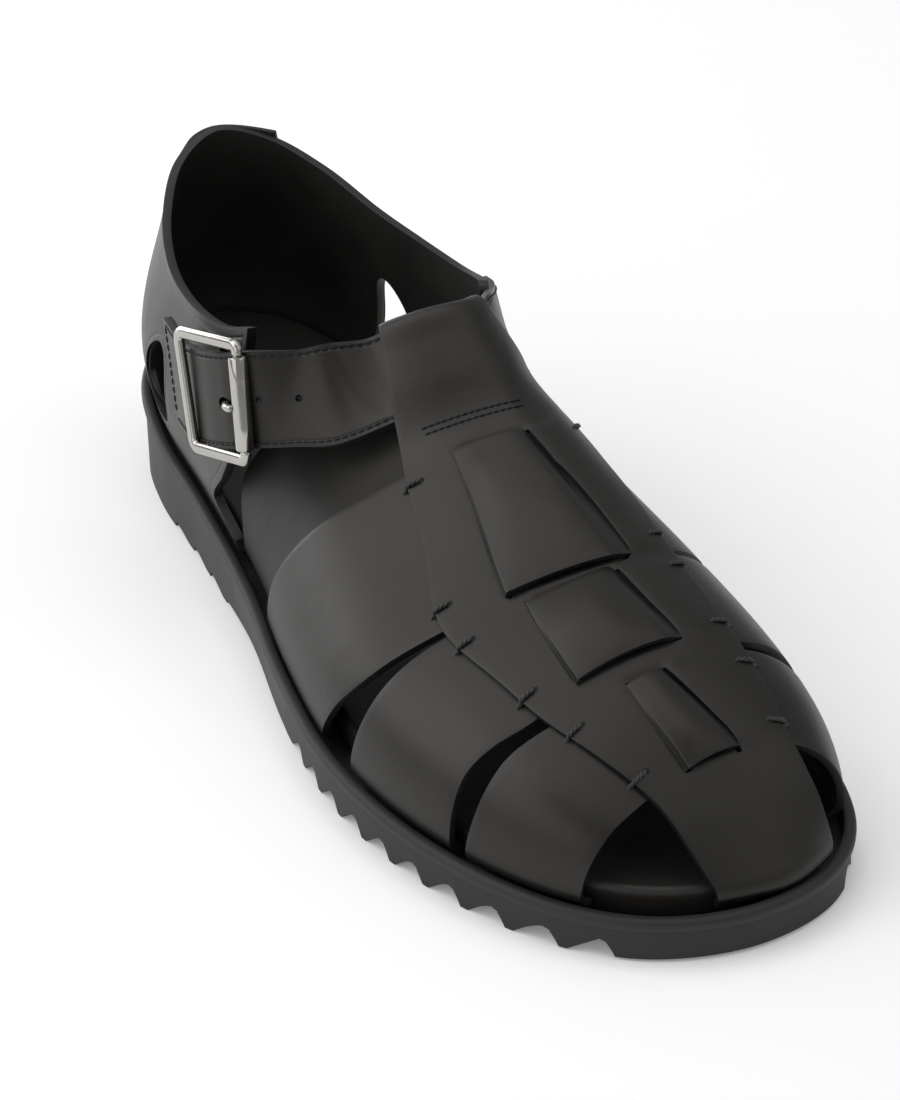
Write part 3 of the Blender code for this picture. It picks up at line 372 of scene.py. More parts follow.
# quarter
QUARTER_INSET = 1.8
QUARTER_TUCK = 3.0
QUARTER_DROP = 3.6
QUARTER_THICK = 2.4
QUARTER_WALL_X = 37.5
QUARTER_TUCK_H = 0.1
QUARTER_MIDDLE = (0.0, 60.0)
QUARTER_MIDDLE_Z = 40.0
QUARTER_COLUMNS = 181
QUARTER_STEP = (0.03, 0.01)
ARC_STEP = 0.5
BULGE_PEAK = 6.75
CUT_REACH = 70.0
QUARTER = [
    # w, base arc, collar x, collar y, collar z, bulge
    (-7.0, -146.0, -37.2, 12.0, 86.0, 3.2),
    (-6.0, -127.0, -37.0, 27.0, 81.5, 3.4),
    (-5.0, -110.0, -36.8, 47.0, 74.0, 3.4),
    (-4.0, -92.0, -35.5, 72.0, 70.5, 3.6),
    (-3.0, -72.0, -32.0, 96.0, 71.0, 3.8),
    (-2.0, -50.5, -25.5, 117.0, 76.5, 4.0),
    (-1.0, -27.0, -14.5, 135.5, 84.0, 4.6),
    (0.0, 0.0, 0.3, 143.5, 88.8, 4.8),
    (1.0, 27.0, 14.5, 136.0, 86.8, 4.8),
    (2.0, 50.5, 24.0, 118.0, 82.0, 4.8),
    (3.0, 72.0, 30.0, 96.0, 76.6, 4.6),
    (4.0, 92.0, 33.0, 74.0, 75.2, 4.4),
    (5.0, 110.0, 34.5, 52.0, 75.4, 4.0),
    (6.0, 127.0, 31.4, 33.5, 79.8, 3.6),
    (7.0, 146.0, 26.0, 18.0, 84.6, 3.4),
]
LEG_FRONT = [
    # h, front edge of the leg as distance in w from the heel
    (-0.08, 6.33),
    (0.02, 6.30),
    (0.04, 6.04),
    (0.07, 5.60),
    (0.11, 5.44),
    (0.17, 5.58),
    (0.28, 5.98),
    (0.40, 6.22),
    (0.65, 6.14),
    (1.00, 6.08),
]
QUARTER_HEIGHTS = [
    # from h, to h, rows of the mesh
    (-0.075, 0.14, 20),
    (0.16, 0.92, 40),
    (0.93, 1.0, 12),
]
MEDIAL_REACH = 0.46
MEDIAL_REACH_H = 0.55
MEDIAL_CORNER = 0.24
MEDIAL_CORNER_H = 0.92
CUTOUT_LATERAL = [
    # y, z round the opening beside the buckle
    (107.2, 35.0),
    (107.4, 38.6),
    (105.6, 42.6),
    (102.2, 46.0),
    (97.2, 49.2),
    (92.4, 50.6),
    (88.2, 49.4),
    (85.6, 45.6),
    (83.8, 40.4),
    (82.4, 35.0),
    (83.4, 31.4),
    (88.0, 30.2),
    (95.0, 30.6),
    (102.6, 31.8),
]
CUTOUT_MEDIAL = [
    # y, z round the D-shaped opening on the inner side
    (103.8, 27.2),
    (105.2, 30.5),
    (105.0, 40.0),
    (103.8, 48.0),
    (101.4, 52.6),
    (97.8, 54.4),
    (93.3, 53.4),
    (88.3, 49.4),
    (84.1, 43.4),
    (81.0, 36.0),
    (79.8, 29.6),
    (81.4, 26.4),
]

# heel tab
TAB_GAP = 0.1
TAB_THICK = 1.5
TAB_LATERAL = -0.80
TAB_MEDIAL = 1.08
TAB_RISE = 0.025
TAB_END_H = 0.82
TAB_MID_H = 0.66
TAB_CURVE = 1.5
TAB_SKIVE = 0.15
TAB_SKIVE_RUN = 0.5
TAB_CENTRE = (0.0, 100.0, 60.0)
TAB_COLUMNS = 50
TAB_ROWS = 22

# ankle strap, mid surface
STRAP_THICK = 2.4
STRAP_LIFT = 3.7
STRAP_STEP = 0.05
STRAP_SAG_REACH = 2.5
STRAP_CENTRE = (0.0, 20.0, 40.0)
STRAP_COLUMNS = 170
STRAP_ROWS = 19
STRAP_FREE = [
    # top x, y, z, bottom x, y, z
    (-41.7, 71.1, 67.7, -44.0, 57.4, 44.2),
]
STRAP_RIDE = [
    # along the buckle, outward from its plane, top edge, lower edge
    (-21.0, -3.1, 11.8, -12.8),
    (-13.9, -1.4, 11.8, -12.7),
    (-7.0, -0.1, 11.9, -12.5),
    (0.0, 0.3, 12.2, -12.0),
    (7.0, -0.7, 12.6, -11.4),
    (13.9, -3.0, 13.5, -10.5),
]
STRAP_LATERAL = [
    # top x, y, z, bottom x, y, z
    (-29.8, 12.4, 80.2, -34.0, 3.6, 58.8),
    (-22.8, 8.8, 81.9, -26.2, -6.2, 62.2),
]
STRAP_TONGUE_T = (-0.29, -0.20, -0.10, 0.0, 0.08, 0.16, 0.215)
STRAP_TOP_S = 4.6
STRAP_LOW_S = 29.2
STRAP_MEDIAL = [
    # top x, y, z, bottom x, y, z
    (22.4, 14.0, 84.8, 26.6, 1.6, 66.4),
    (27.6, 23.0, 81.2, 32.0, 13.8, 58.6),
    (33.2, 34.0, 77.8, 36.0, 25.0, 51.4),
    (36.3, 44.6, 74.8, 37.8, 34.0, 47.2),
]
STRAP_POINT = 9.0
STRAP_POINT_FROM = 0.9
STRAP_POINT_CURVE = 0.9
STRAP_SEAM = 0.048
STRAP_SEAM_START = 0.12
STRAP_SEAM_END = 0.6
STRAP_SEAM_CORNER = 0.015
STRAP_CREASES = [
    # place along, slant across, spread, height
    (8.15, 0.50, 0.14, -0.18),
    (8.42, 0.60, 0.12, 0.17),
    (8.68, 0.40, 0.11, -0.20),
    (4.80, 0.15, 0.25, 0.22),
]
STRAP_HOLES = (6.15, 7.13)
STRAP_HOLE_RADIUS = 0.95
STRAP_PUNCH = (-4.0, 2.0)

# buckle
BUCKLE_CENTRE = (-45.2, 26.9, 63.7)
BUCKLE_ALONG = (0.152, -0.960, 0.237)
BUCKLE_UP = (0.043, 0.246, 0.968)
BUCKLE_CORNERS = [
    # along, up, outward, corner radius
    (13.7, 15.4, 0.8, 1.8),
    (-14.2, 15.9, 1.8, 2.6),
    (-10.9, -13.2, 1.8, 2.6),
    (13.7, -13.3, 0.8, 1.8),
]
BUCKLE_ROD = 1.6
BUCKLE_FLAT = 0.8
FRONT_ROD = 1.1
ROLLER_IN = 1.3
ROLLER_OUT = 2.35
ROLLER_TOP = 13.0
ROLLER_LOW = -10.9
ROLLER_SHOULDER = 0.3
ROLLER_PLAY = 0.2
ROLLER_EDGE = 0.2
ROLLER_STOPS = (-1.0, -0.985, -0.95, -0.5, 0.0, 0.5, 0.95, 0.985, 1.0)
CENTRE_ROD = 1.2
CENTRE_DROP = 3.2
CENTRE_TOP = 0.2
CENTRE_LOW = 0.1
CENTRE_BEND = [
    # distance from the bar's end, outward
    (0.0, 1.3),
    (0.8, -1.4),
    (2.2, -CENTRE_DROP),
]
SLEEVE_OUT = 2.1
SLEEVE_HALF = 1.5
SLEEVE_EDGE = 0.25
SLEEVE_STOPS = (-1.0, -0.9, 0.0, 0.9, 1.0)
PRONG = [
    # along, outward, radius
    (1.75, -2.6, 1.0),
    (3.8, -1.2, 1.1),
    (6.3, 1.0, 1.1),
    (8.9, 2.6, 1.1),
    (11.4, 3.2, 1.05),
    (12.8, 3.0, 0.8),
]
PRONG_TIP = 0.5
PRONG_STEPS = 26
PRONG_HOLE = 1.6
PRONG_PLAY = 1.1
CHAPE_HALF = 8.0
CHAPE_THICK = 1.2
CHAPE_STEPS = 56
CHAPE_COLUMNS = 15
CHAPE_SLOT = 2.2
CHAPE_SLOT_PLACE = (-0.8, -3.3)
CHAPE_SLOT_SIZE = (9.6, 7.4)
CHAPE_CENTRE = (40.0, 20.0, 62.0)
CHAPE = [
    # along, outward, slant across
    (-22.0, -8.8, -0.135),
    (-14.0, -7.5, -0.135),
    (-6.0, -6.5, -0.125),
    (-2.4, -5.9, -0.06),
    (-0.4, -5.35, 0.0),
    (1.4, -4.8, 0.0),
    (2.15, -3.2, 0.0),
    (1.5, -1.8, 0.0),
    (0.0, -1.2, 0.0),
    (-2.0, -1.6, 0.0),
    (-3.6, -2.6, 0.0),
    (-4.4, -3.6, 0.0),
]

# thread
HAND_SHINE = 0.6
MACHINE_SHINE = 0.28
WHIP_INSET = 4.2
WHIP_IN = 3.9
WHIP_OUT = 1.7
WHIP_SLANT = 0.4
WHIP_STEP = 0.02
WHIP_DROP_FROM = 0.62
WHIP_DROP_RUN = 0.22
WHIP_HIGH = 0.55
WHIP_DIG = 1.3
WHIP_TURNS = 2.5
WHIP_STEPS = 22
PLY_OFF = 0.24
PLY_RADIUS = 0.34
# Sizes of the dark matt discs at the thread's ends, painted shade standing in for the stitch holes.
WHIP_HOLE_RADIUS = 0.75
WHIP_HOLE_DEEP = 1.0
WHIP_HOLE_PROUD = 0.03
STITCH = [
    # share of the pitch, height in threads
    (0.12, -0.35),
    (0.22, 0.1),
    (0.5, 0.28),
    (0.78, 0.1),
    (0.88, -0.35),
]
LOOP_SEAM_S = (33.6, 35.3)
LOOP_SEAM_PITCH = 1.7
LOOP_SEAM_T = (-0.27, 0.013)

# stage, in metres and watts
FLOOR_HALF = 4.0
FLOOR_GLOW = 0.16
WORLD_LIGHT = 0.34
LIGHTS = [
    # name, place, aim, width and height, power
    ("back left", (-1.75, 0.95, 1.45), (0.0, 0.0, 0.0), (2.0, 2.0), 22.0),
    ("overhead", (-0.2, 0.4, 2.0), (0.0, 0.0, 0.0), (2.0, 2.0), 13.5),
    ("front right", (0.9, -1.0, 1.6), (0.0, 0.0, 0.0), (1.6, 1.6), 5.0),
    ("front left", (-1.5, -0.5, 0.7), (0.0, 0.0, 0.05), (1.2, 1.0), 4.0),
    ("rear card", (-0.45, 2.0, 0.4), (0.0, 0.0, 0.06), (1.5, 0.8), 12.0),
]

# view
CAMERA_PLACE = (-257.35, -553.4, 360.1)
CAMERA_AIM = (-3.0, -22.0, 36.0)
CAMERA_FOCAL_PX = 2760.0
PICTURE_LONG_PX = 1100.0
SENSOR_MM = 36.0


def smooth(f):
    """Soft step from 0 to 1."""
    f = np.clip(f, 0.0, 1.0)
    return f * f * (3.0 - 2.0 * f)


def at(rows, key):
    """Columns of a table at an array of keys, by a smooth curve through its rows."""
    table = np.array(rows, float)
    keys, vals = table[:, 0], table[:, 1:]
    slope = np.gradient(vals, keys, axis=0)
    key = np.atleast_1d(np.asarray(key, float))
    i = np.clip(np.searchsorted(keys, key) - 1, 0, len(keys) - 2)
    span = (keys[i + 1] - keys[i])[:, None]
    f = np.clip((key - keys[i])[:, None] / span, 0.0, 1.0)
    out = (1 + 2 * f) * (1 - f) ** 2 * vals[i] + f * (1 - f) ** 2 * span * slope[i]
    out += f * f * (3 - 2 * f) * vals[i + 1] + f * f * (f - 1) * span * slope[i + 1]
    out += np.minimum(key - keys[0], 0.0)[:, None] * slope[0]
    return out + np.maximum(key - keys[-1], 0.0)[:, None] * slope[-1]


def linear(rows, key):
    """Second column of a table by straight lines between its rows."""
    return np.interp(key, [row[0] for row in rows], [row[1] for row in rows])


def plan_curve(steps):
    """Closed plan curve of the lip's crest, from the heel end along the lateral side."""
    lateral = [(x, SOLE_LENGTH * (0.5 - u)) for u, x, _ in SOLE_PLAN]
    medial = [(x, SOLE_LENGTH * (0.5 - u)) for u, _, x in SOLE_PLAN]
    heel, toe = [(0.0, SOLE_LENGTH / 2)], [(TOE_APEX_X, -SOLE_LENGTH / 2)]
    b = np.array(heel + lateral + toe + medial[::-1])
    a, c, d = np.roll(b, 1, 0), np.roll(b, -1, 0), np.roll(b, -2, 0)
    ta, tb, tc = (np.linalg.norm(q - p, axis=1)[:, None] ** 0.5 for p, q in ((a, b), (b, c), (c, d)))
    m1 = tb * ((b - a) / ta - (c - a) / (ta + tb) + (c - b) / tb)
    m2 = tb * ((c - b) / tb - (d - b) / (tb + tc) + (d - c) / tc)
    curves = []
    for f in np.arange(steps) / steps:
        start = (1 + 2 * f) * (1 - f) ** 2 * b + f * (1 - f) ** 2 * m1
        curves.append(start + f * f * (3 - 2 * f) * c + f * f * (f - 1) * m2)
    return np.stack(curves, 1).reshape(-1, 2)


def offset_curve(curve, inset):
    """Plan curve moved inward along its normals."""
    ahead = np.roll(curve, -1, 0) - np.roll(curve, 1, 0)
    ahead = ahead / np.linalg.norm(ahead, axis=1)[:, None]
    return curve - np.reshape(inset, (-1, 1)) * np.c_[ahead[:, 1], -ahead[:, 0]]


FINE = plan_curve(24)


def half_curves(inset):
    """Lateral and medial halves of the inset plan curve, both from toe to heel."""
    loop = offset_curve(FINE, inset)
    loop = np.roll(loop, -int(np.argmax(loop[:, 1])), 0)
    toe = int(np.argmin(loop[:, 1]))
    return loop[:toe + 1][::-1], np.r_[loop[toe:], loop[:1]]


WIDE_SIDES = half_curves(WIDE_INSET)
FOOT_SIDES = half_curves(WIDE_INSET + TUCK)


def side_points(halves, y, lateral):
    """Plan points at heights y along the foot, on the lateral side where the mask is set."""
    points = []
    for half in halves:
        x = np.interp(y, half[:, 1], half[:, 0])
        points.append(np.c_[x, np.clip(y, half[0, 1], half[-1, 1])])
    return np.where(lateral[:, None], points[0], points[1])


def rim(y):
    """Height of the lip's crest."""
    return at(RIM, y)[:, 0]


def vamp(s, t):
    """Inner face of the weave: s runs from throat to toe, t from lateral foot to medial foot."""
    rx, ry, rz, ly, my, lp, mp = at(VAMP, np.minimum(s, TOE_S)).T
    lateral = t < 0
    foot_y = np.where(lateral, ly, my)
    power = np.where(lateral, lp, mp)
    wide = side_points(WIDE_SIDES, foot_y, lateral)
    foot = side_points(FOOT_SIDES, foot_y, lateral)
    top = rim(wide[:, 1]) + WIDE_RISE
    low = rim(wide[:, 1]) - FOOT_DROP
    angle = 0.5 * math.pi * np.minimum(np.abs(t), 1.0)
    c = np.clip(np.sin(angle), 0.0, 1.0) ** (2 / power)
    v = np.clip(np.cos(angle), 0.0, 1.0) ** (2 / power)
    x = rx + (wide[:, 0] - rx) * c
    y = ry + (wide[:, 1] - ry) * c ** SECTION_FAN
    z = top + (rz - top) * v
    turn = 0.5 * math.pi * np.maximum(np.abs(t) - 1.0, 0.0) / TUCK_SPAN
    w = 1.0 - np.cos(turn)
    toe = 0.5 * math.pi * np.maximum(s - TOE_S, 0.0) / TOE_TUCK
    inward = (1.0 - np.cos(toe)) * TUCK
    x = x + (foot[:, 0] - wide[:, 0]) * w + (rx - x) * inward / TOE_GATHER
    y = y + (foot[:, 1] - wide[:, 1]) * w + inward
    z = z - (top - low) * np.maximum(np.sin(turn), np.sin(toe))
    return np.c_[x, y, z]


def unit(v):
    """Directions of one length."""
    return v / np.linalg.norm(v, axis=-1, keepdims=True)


def vamp_normal(s, t):
    """Outward directions on the weave's inner face."""
    ds, dt = VAMP_STEP
    return unit(np.cross(vamp(s + ds, t) - vamp(s - ds, t), vamp(s, t + dt) - vamp(s, t - dt)))


def vamp_lift(s, t, lift):
    """Points at a height above the weave's inner face."""
    s, t, lift = (np.atleast_1d(np.asarray(v, float)) for v in np.broadcast_arrays(s, t, lift))
    return vamp(s, t) + lift[:, None] * vamp_normal(s, t)


def heel_curve():
    """Quarter's base curve from the heel end along the lateral side, with its arc lengths."""
    loop = offset_curve(FINE, QUARTER_INSET)
    loop = np.roll(loop, -int(np.argmax(loop[:, 1])), 0)
    loop = np.r_[loop, loop[:1]]
    return loop, np.r_[0.0, np.cumsum(np.linalg.norm(np.diff(loop, axis=0), axis=1))]


HEEL_LOOP, HEEL_ARC = heel_curve()


def arc_points(arc):
    """Plan points and outward normals on the quarter's base, lateral arcs negative."""
    ends = []
    for step in (0.0, ARC_STEP):
        run = (step - arc) % HEEL_ARC[-1]
        ends.append(np.stack([np.interp(run, HEEL_ARC, HEEL_LOOP[:, i]) for i in (0, 1)], 1))
    d = unit(ends[1] - ends[0])
    return ends[0], np.c_[d[:, 1], -d[:, 0]]


def quarter(w, h):
    """Outer face of the quarter: w runs lateral to medial round the heel, h from foot to collar."""
    arc, cx, cy, cz, bulge = at(QUARTER, w).T
    base, n = arc_points(arc)
    low = rim(base[:, 1]) + WIDE_RISE
    k = np.maximum(h, 0.0)
    turn = 0.5 * math.pi * np.maximum(-h, 0.0) / QUARTER_TUCK_H
    push = BULGE_PEAK * k * (1.0 - np.minimum(k, 1.0)) ** 2 * bulge - QUARTER_TUCK * (1.0 - np.cos(turn))
    x = base[:, 0] + (cx - base[:, 0]) * k + n[:, 0] * push
    y = base[:, 1] + (cy - base[:, 1]) * k + n[:, 1] * push
    return np.c_[x, y, low + (cz - low) * k - QUARTER_DROP * np.sin(turn)]


def quarter_lift(w, h, lift):
    """Points at a distance outside the quarter's outer face."""
    w, h, lift = (np.atleast_1d(np.asarray(v, float)) for v in np.broadcast_arrays(w, h, lift))
    place = quarter(w, h)
    dw, dh = QUARTER_STEP
    n = unit(np.cross(quarter(w, h + dh) - quarter(w, h - dh), quarter(w + dw, h) - quarter(w - dw, h)))
    outward = np.sum(n[:, :2] * (place[:, :2] - QUARTER_MIDDLE), axis=1)
    return place + (np.where(outward < 0, -1.0, 1.0) * lift)[:, None] * n


def buckle_axes():
    """Directions along the strap, up across it and outward, at the buckle."""
    along = unit(np.array(BUCKLE_ALONG))
    up = np.array(BUCKLE_UP)
    up = unit(up - along * (up @ along))
    return along, up, np.cross(along, up)


def buckle_points(points):
    """Points from the buckle's own axes: along the strap, up across it, and outward."""
    return np.array(BUCKLE_CENTRE) + np.atleast_2d(points) @ np.array(buckle_axes())


def loop_drop(s, t):
    """How much lower the loop and the strap in it lie toward the medial side."""
    edges = at(TONGUE, np.clip(s, 0.0, LOOP_EDGE_S))
    across = (t - edges[:, 0]) / (edges[:, 1] - edges[:, 0])
    share = smooth(across * (1.0 + LOOP_LEVEL) - LOOP_LEVEL)
    return LOOP_MEDIAL_DROP * share * smooth((LOOP_FADE_S - s) / LOOP_FADE)


def strap_rows():
    """Top and bottom edges of the ankle strap from its free end to the medial point."""
    rows = list(STRAP_FREE)
    for a, n, top, low in STRAP_RIDE:
        rows.append(buckle_points([(a, top, n), (a, low, n)]).ravel())
    rows += STRAP_LATERAL
    for t in STRAP_TONGUE_T:
        ends = np.array([STRAP_TOP_S, STRAP_LOW_S])
        rows.append(vamp_lift(ends, t, STRAP_LIFT - loop_drop(ends, np.full(2, t))).ravel())
    rows += STRAP_MEDIAL
    return [(float(k), *row) for k, row in enumerate(rows)]


STRAP = strap_rows()
STRAP_END = float(len(STRAP) - 1)
STRAP_FIRST = len(STRAP_FREE) + len(STRAP_RIDE) + len(STRAP_LATERAL)
STRAP_LAST = STRAP_FIRST + len(STRAP_TONGUE_T) - 1
SAG_S = [STRAP_TOP_S, 0.5 * (STRAP_TOP_S + STRAP_LOW_S), STRAP_LOW_S]
SAG_TOP, SAG_MID, SAG_LOW = vamp_lift(SAG_S, 0.0, STRAP_LIFT)
STRAP_SAG = SAG_MID - 0.5 * (SAG_TOP + SAG_LOW)


def strap_mid(k, f):
    """Mid-surface points of the strap: k along it, f across it from top to bottom."""
    edge = at(STRAP, k)
    away = np.maximum(STRAP_FIRST - k, 0.0) + np.maximum(k - STRAP_LAST, 0.0)
    bow = np.maximum(0.0, 1.0 - away / STRAP_SAG_REACH) * 4.0 * f * (1.0 - f)
    return edge[:, :3] + (edge[:, 3:] - edge[:, :3]) * f[:, None] + STRAP_SAG * bow[:, None]


def strap_face(k, f, lift=0.0):
    """Outer face of the strap with its pointed end, and the outward directions there."""
    k, f = (np.atleast_1d(np.asarray(v, float)) for v in np.broadcast_arrays(k, f))
    ahead, behind = np.minimum(k + STRAP_STEP, STRAP_END), np.maximum(k - STRAP_STEP, 0.0)
    below, above = np.minimum(f + STRAP_STEP, 1.0), np.maximum(f - STRAP_STEP, 0.0)
    along = strap_mid(ahead, f) - strap_mid(behind, f)
    across = strap_mid(k, below) - strap_mid(k, above)
    n = unit(np.cross(across, along))
    share = np.clip((k / STRAP_END - STRAP_POINT_FROM) / (1.0 - STRAP_POINT_FROM), 0.0, 1.0)
    reach = STRAP_POINT * share * (1.0 - np.abs(2.0 * f - 1.0)) ** STRAP_POINT_CURVE
    for place, slant, spread, high in STRAP_CREASES:
        away = (k - place - slant * (f - 0.5)) / spread
        lift = lift + high * np.exp(-away ** 2) * np.sin(math.pi * f) ** 0.5
    face = strap_mid(k, f) + unit(along) * reach[:, None]
    return face + n * np.reshape(STRAP_THICK / 2 + lift, (-1, 1)), n


def crossing(k):
    """Rear and front s of one band where it lies over the centre strap."""
    row = at(BAND_EDGES, 0.5 * (BANDS[k][0] + BANDS[k][3]))[0]
    return row[2 * k], row[2 * k + 1]


def slits(k, s):
    """Lateral and medial slit of one band's crossing, at an array of s."""
    rl, rm, fl, fm = BANDS[k]
    rear, front = crossing(k)
    f = np.clip((s - rear) / (front - rear), 0.0, 1.0)
    return rl + (fl - rl) * f, rm + (fm - rm) * f


def even_steps(curve, low, high, count):
    """Values from low to high that lie evenly along a curve of points."""
    dense = np.linspace(low, high, 800)
    points = curve(dense)
    run = np.r_[0.0, np.cumsum(np.linalg.norm(np.diff(points, axis=0), axis=1))]
    return np.interp(np.linspace(0.0, run[-1], count), run, dense)


def set_points(verts, points):
    """Puts vertices at points given in millimetres."""
    for vert, (x, y, z) in zip(verts, points):
        vert.co = ((x + FRAME_X) * MM, y * MM, z * MM)


def sheet(us, vs, place):
    """Grid bent onto a surface: place takes arrays of u and v and gives points in millimetres."""
    us, vs = np.asarray(us, float), np.asarray(vs, float)
    bm = bmesh.new()
    bmesh.ops.create_grid(bm, x_segments=len(us) - 1, y_segments=len(vs) - 1, size=1.0)
    bm.verts.index_update()
    index = np.arange(len(bm.verts))
    set_points(bm.verts, place(us[index % len(us)], vs[index // len(us)]))
    return bm


def turn_out(bm, centre):
    """Turns an open sheet's faces away from a centre given in millimetres."""
    bm.normal_update()
    middle = Vector(((centre[0] + FRAME_X) * MM, centre[1] * MM, centre[2] * MM))
    if sum(f.normal.dot(f.calc_center_median() - middle) * f.calc_area() for f in bm.faces) < 0:
        bmesh.ops.reverse_faces(bm, faces=bm.faces)


Bar = namedtuple("Bar", "path radii up sides closed flat", defaults=(12, False, 1.0))


def tubes(bars):
    """Bars along paths in millimetres, round or flattened toward their up direction."""
    bm = bmesh.new()
    for path, radii, up, sides, closed, flat in bars:
        path = np.array(path, float)
        ahead = np.roll(path, -1, 0) - np.roll(path, 1, 0) if closed else np.gradient(path, axis=0)
        side = unit(np.cross(unit(ahead), up))
        top = np.cross(side, unit(ahead))
        rows = len(path)
        spans = rows if closed else rows - 1
        made = bmesh.ops.create_grid(bm, x_segments=sides, y_segments=spans, size=1.0)
        index = np.arange(len(made["verts"]))
        angle = 2.0 * math.pi * (index % (sides + 1)) / sides
        row = (index // (sides + 1)) % rows
        round_off = np.cos(angle)[:, None] * side[row] + flat * np.sin(angle)[:, None] * top[row]
        set_points(made["verts"], path[row] + np.asarray(radii, float)[row][:, None] * round_off)
    bmesh.ops.remove_doubles(bm, verts=bm.verts, dist=1e-7)
    bmesh.ops.holes_fill(bm, edges=[e for e in bm.edges if e.is_boundary], sides=0)
    bmesh.ops.recalc_face_normals(bm, faces=bm.faces)
    return bm


def rings(loops):
    """Closed stack of rings of points in millimetres, joined by bridges and filled at both ends."""
    bm = bmesh.new()
    loop_edges = []
    for points in loops:
        made = bmesh.ops.create_circle(bm, segments=len(points), radius=1.0)
        set_points(made["verts"], points)
        loop_edges.append(sorted({e for v in made["verts"] for e in v.link_edges}, key=lambda e: e.index))
    for low, high in zip(loop_edges, loop_edges[1:]):
        bmesh.ops.bridge_loops(bm, edges=low + high)
    for end in (loop_edges[0], loop_edges[-1]):
        bmesh.ops.triangle_fill(bm, edges=end, use_beauty=True)
    bmesh.ops.recalc_face_normals(bm, faces=bm.faces)
    return bm


def prisms(outlines, x0, x1):
    """Filled outlines in the y-z plane drawn out along x, in millimetres."""
    bm = bmesh.new()
    for outline in outlines:
        verts = [bm.verts.new(((x0 + FRAME_X) * MM, y * MM, z * MM)) for y, z in outline]
        face = bmesh.ops.contextual_create(bm, geom=verts)["faces"][0]
        drawn = bmesh.ops.extrude_face_region(bm, geom=[face], use_keep_orig=True)
        moved = [v for v in drawn["geom"] if isinstance(v, bmesh.types.BMVert)]
        bmesh.ops.translate(bm, verts=moved, vec=((x1 - x0) * MM, 0.0, 0.0))
    bmesh.ops.recalc_face_normals(bm, faces=bm.faces)
    return bm


def to_object(name, bm, materials):
    """New object in the scene from a bmesh, with its materials."""
    mesh = bpy.data.meshes.new(name)
    bm.to_mesh(mesh)
    bm.free()
    for mat in materials:
        mesh.materials.append(mat)
    obj = bpy.data.objects.new(name, mesh)
    bpy.context.scene.collection.objects.link(obj)
    return obj


def carve(obj, *cutters):
    """Takes cutters out of a piece and removes them."""
    for cutter in cutters:
        mod = obj.modifiers.new("cut", 'BOOLEAN')
        mod.operation = 'DIFFERENCE'
        mod.solver = 'EXACT'
        mod.object = cutter
    apply_modifiers(obj)
    for cutter in cutters:
        bpy.data.meshes.remove(cutter.data)


def apply_modifiers(obj):
    """Makes a piece's modifiers part of its mesh."""
    graph = bpy.context.evaluated_depsgraph_get()
    mesh = bpy.data.meshes.new_from_object(obj.evaluated_get(graph))
    old = obj.data
    obj.modifiers.clear()
    obj.data = mesh
    bpy.data.meshes.remove(old)
    mesh.name = obj.name


def thicken(obj, thickness):
    """Gives an open sheet its wall, inward, with flesh side and cut edge in the next material slots."""
    mod = obj.modifiers.new("wall", 'SOLIDIFY')
    mod.thickness = thickness * MM
    mod.offset = -1.0
    mod.use_quality_normals = True
    mod.material_offset = 1
    mod.material_offset_rim = 2
    apply_modifiers(obj)


def round_edges(obj, width, segments=3, angle=50.0):
    """Rounds a piece's sharp edges."""
    mod = obj.modifiers.new("round", 'BEVEL')
    mod.width = width
    mod.segments = segments
    mod.limit_method = 'ANGLE'
    mod.angle_limit = math.radians(angle)
    mod.profile = 0.5
    mod.material = -1
    mod.use_clamp_overlap = True
    apply_modifiers(obj)


def edge_tree(bm):
    """Search tree of points along a sheet's open edges."""
    points = []
    for e in bm.edges:
        if e.is_boundary:
            a, b = e.verts[0].co, e.verts[1].co
            points += [a.lerp(b, f) for f in (0.0, 0.2, 0.4, 0.6, 0.8)]
    return point_tree(points)


def point_tree(points):
    """Search tree of points in metres."""
    tree = KDTree(len(points))
    for i, p in enumerate(points):
        tree.insert(p, i)
    tree.balance()
    return tree


def mark_edges(obj, *trees):
    """Stores each vertex's distance in millimetres to the nearest edge point."""
    mesh = obj.data
    attribute = mesh.attributes.new("edge", 'FLOAT', 'POINT')
    values = [min(tree.find(v.co)[2] for tree in trees) / MM for v in mesh.vertices]
    attribute.data.foreach_set("value", values)


def finish_piece(obj, slot, *nodes, sharp=None):
    """Smooth shading, the body to ride on and the solids it stands for; the slot argument is not used."""
    obj.data.shade_smooth()
    if sharp is not None:
        obj.data.set_sharp_from_angle(angle=math.radians(sharp))
    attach(obj, BODY)
    if nodes:
        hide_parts(*nodes)
    return obj


def leather_piece(name, bm, thickness, skin, nodes, centre, cutters=(), trees=()):
    """Leather sheet with its wall, cuts, rounded edges and distances to its edges."""
    sizes = bpy.context.scene.sandal_sizes
    turn_out(bm, centre)
    tree = edge_tree(bm)
    obj = to_object(name, bm, skin)
    thicken(obj, thickness)
    if cutters:
        carve(obj, *cutters)
    round_edges(obj, sizes.edge_round)
    mark_edges(obj, tree, *trees)
    return finish_piece(obj, "leather", *nodes)


def node_group(name, inputs, outputs):
    """Empty shader group with named sockets, and its input and output nodes."""
    tree = bpy.data.node_groups.new(name, 'ShaderNodeTree')
    for label, kind, value in inputs:
        socket = tree.interface.new_socket(name=label, in_out='INPUT', socket_type=kind)
        if value is not None:
            socket.default_value = value
    for label, kind in outputs:
        tree.interface.new_socket(name=label, in_out='OUTPUT', socket_type=kind)
    return tree, tree.nodes.new('NodeGroupInput'), tree.nodes.new('NodeGroupOutput')


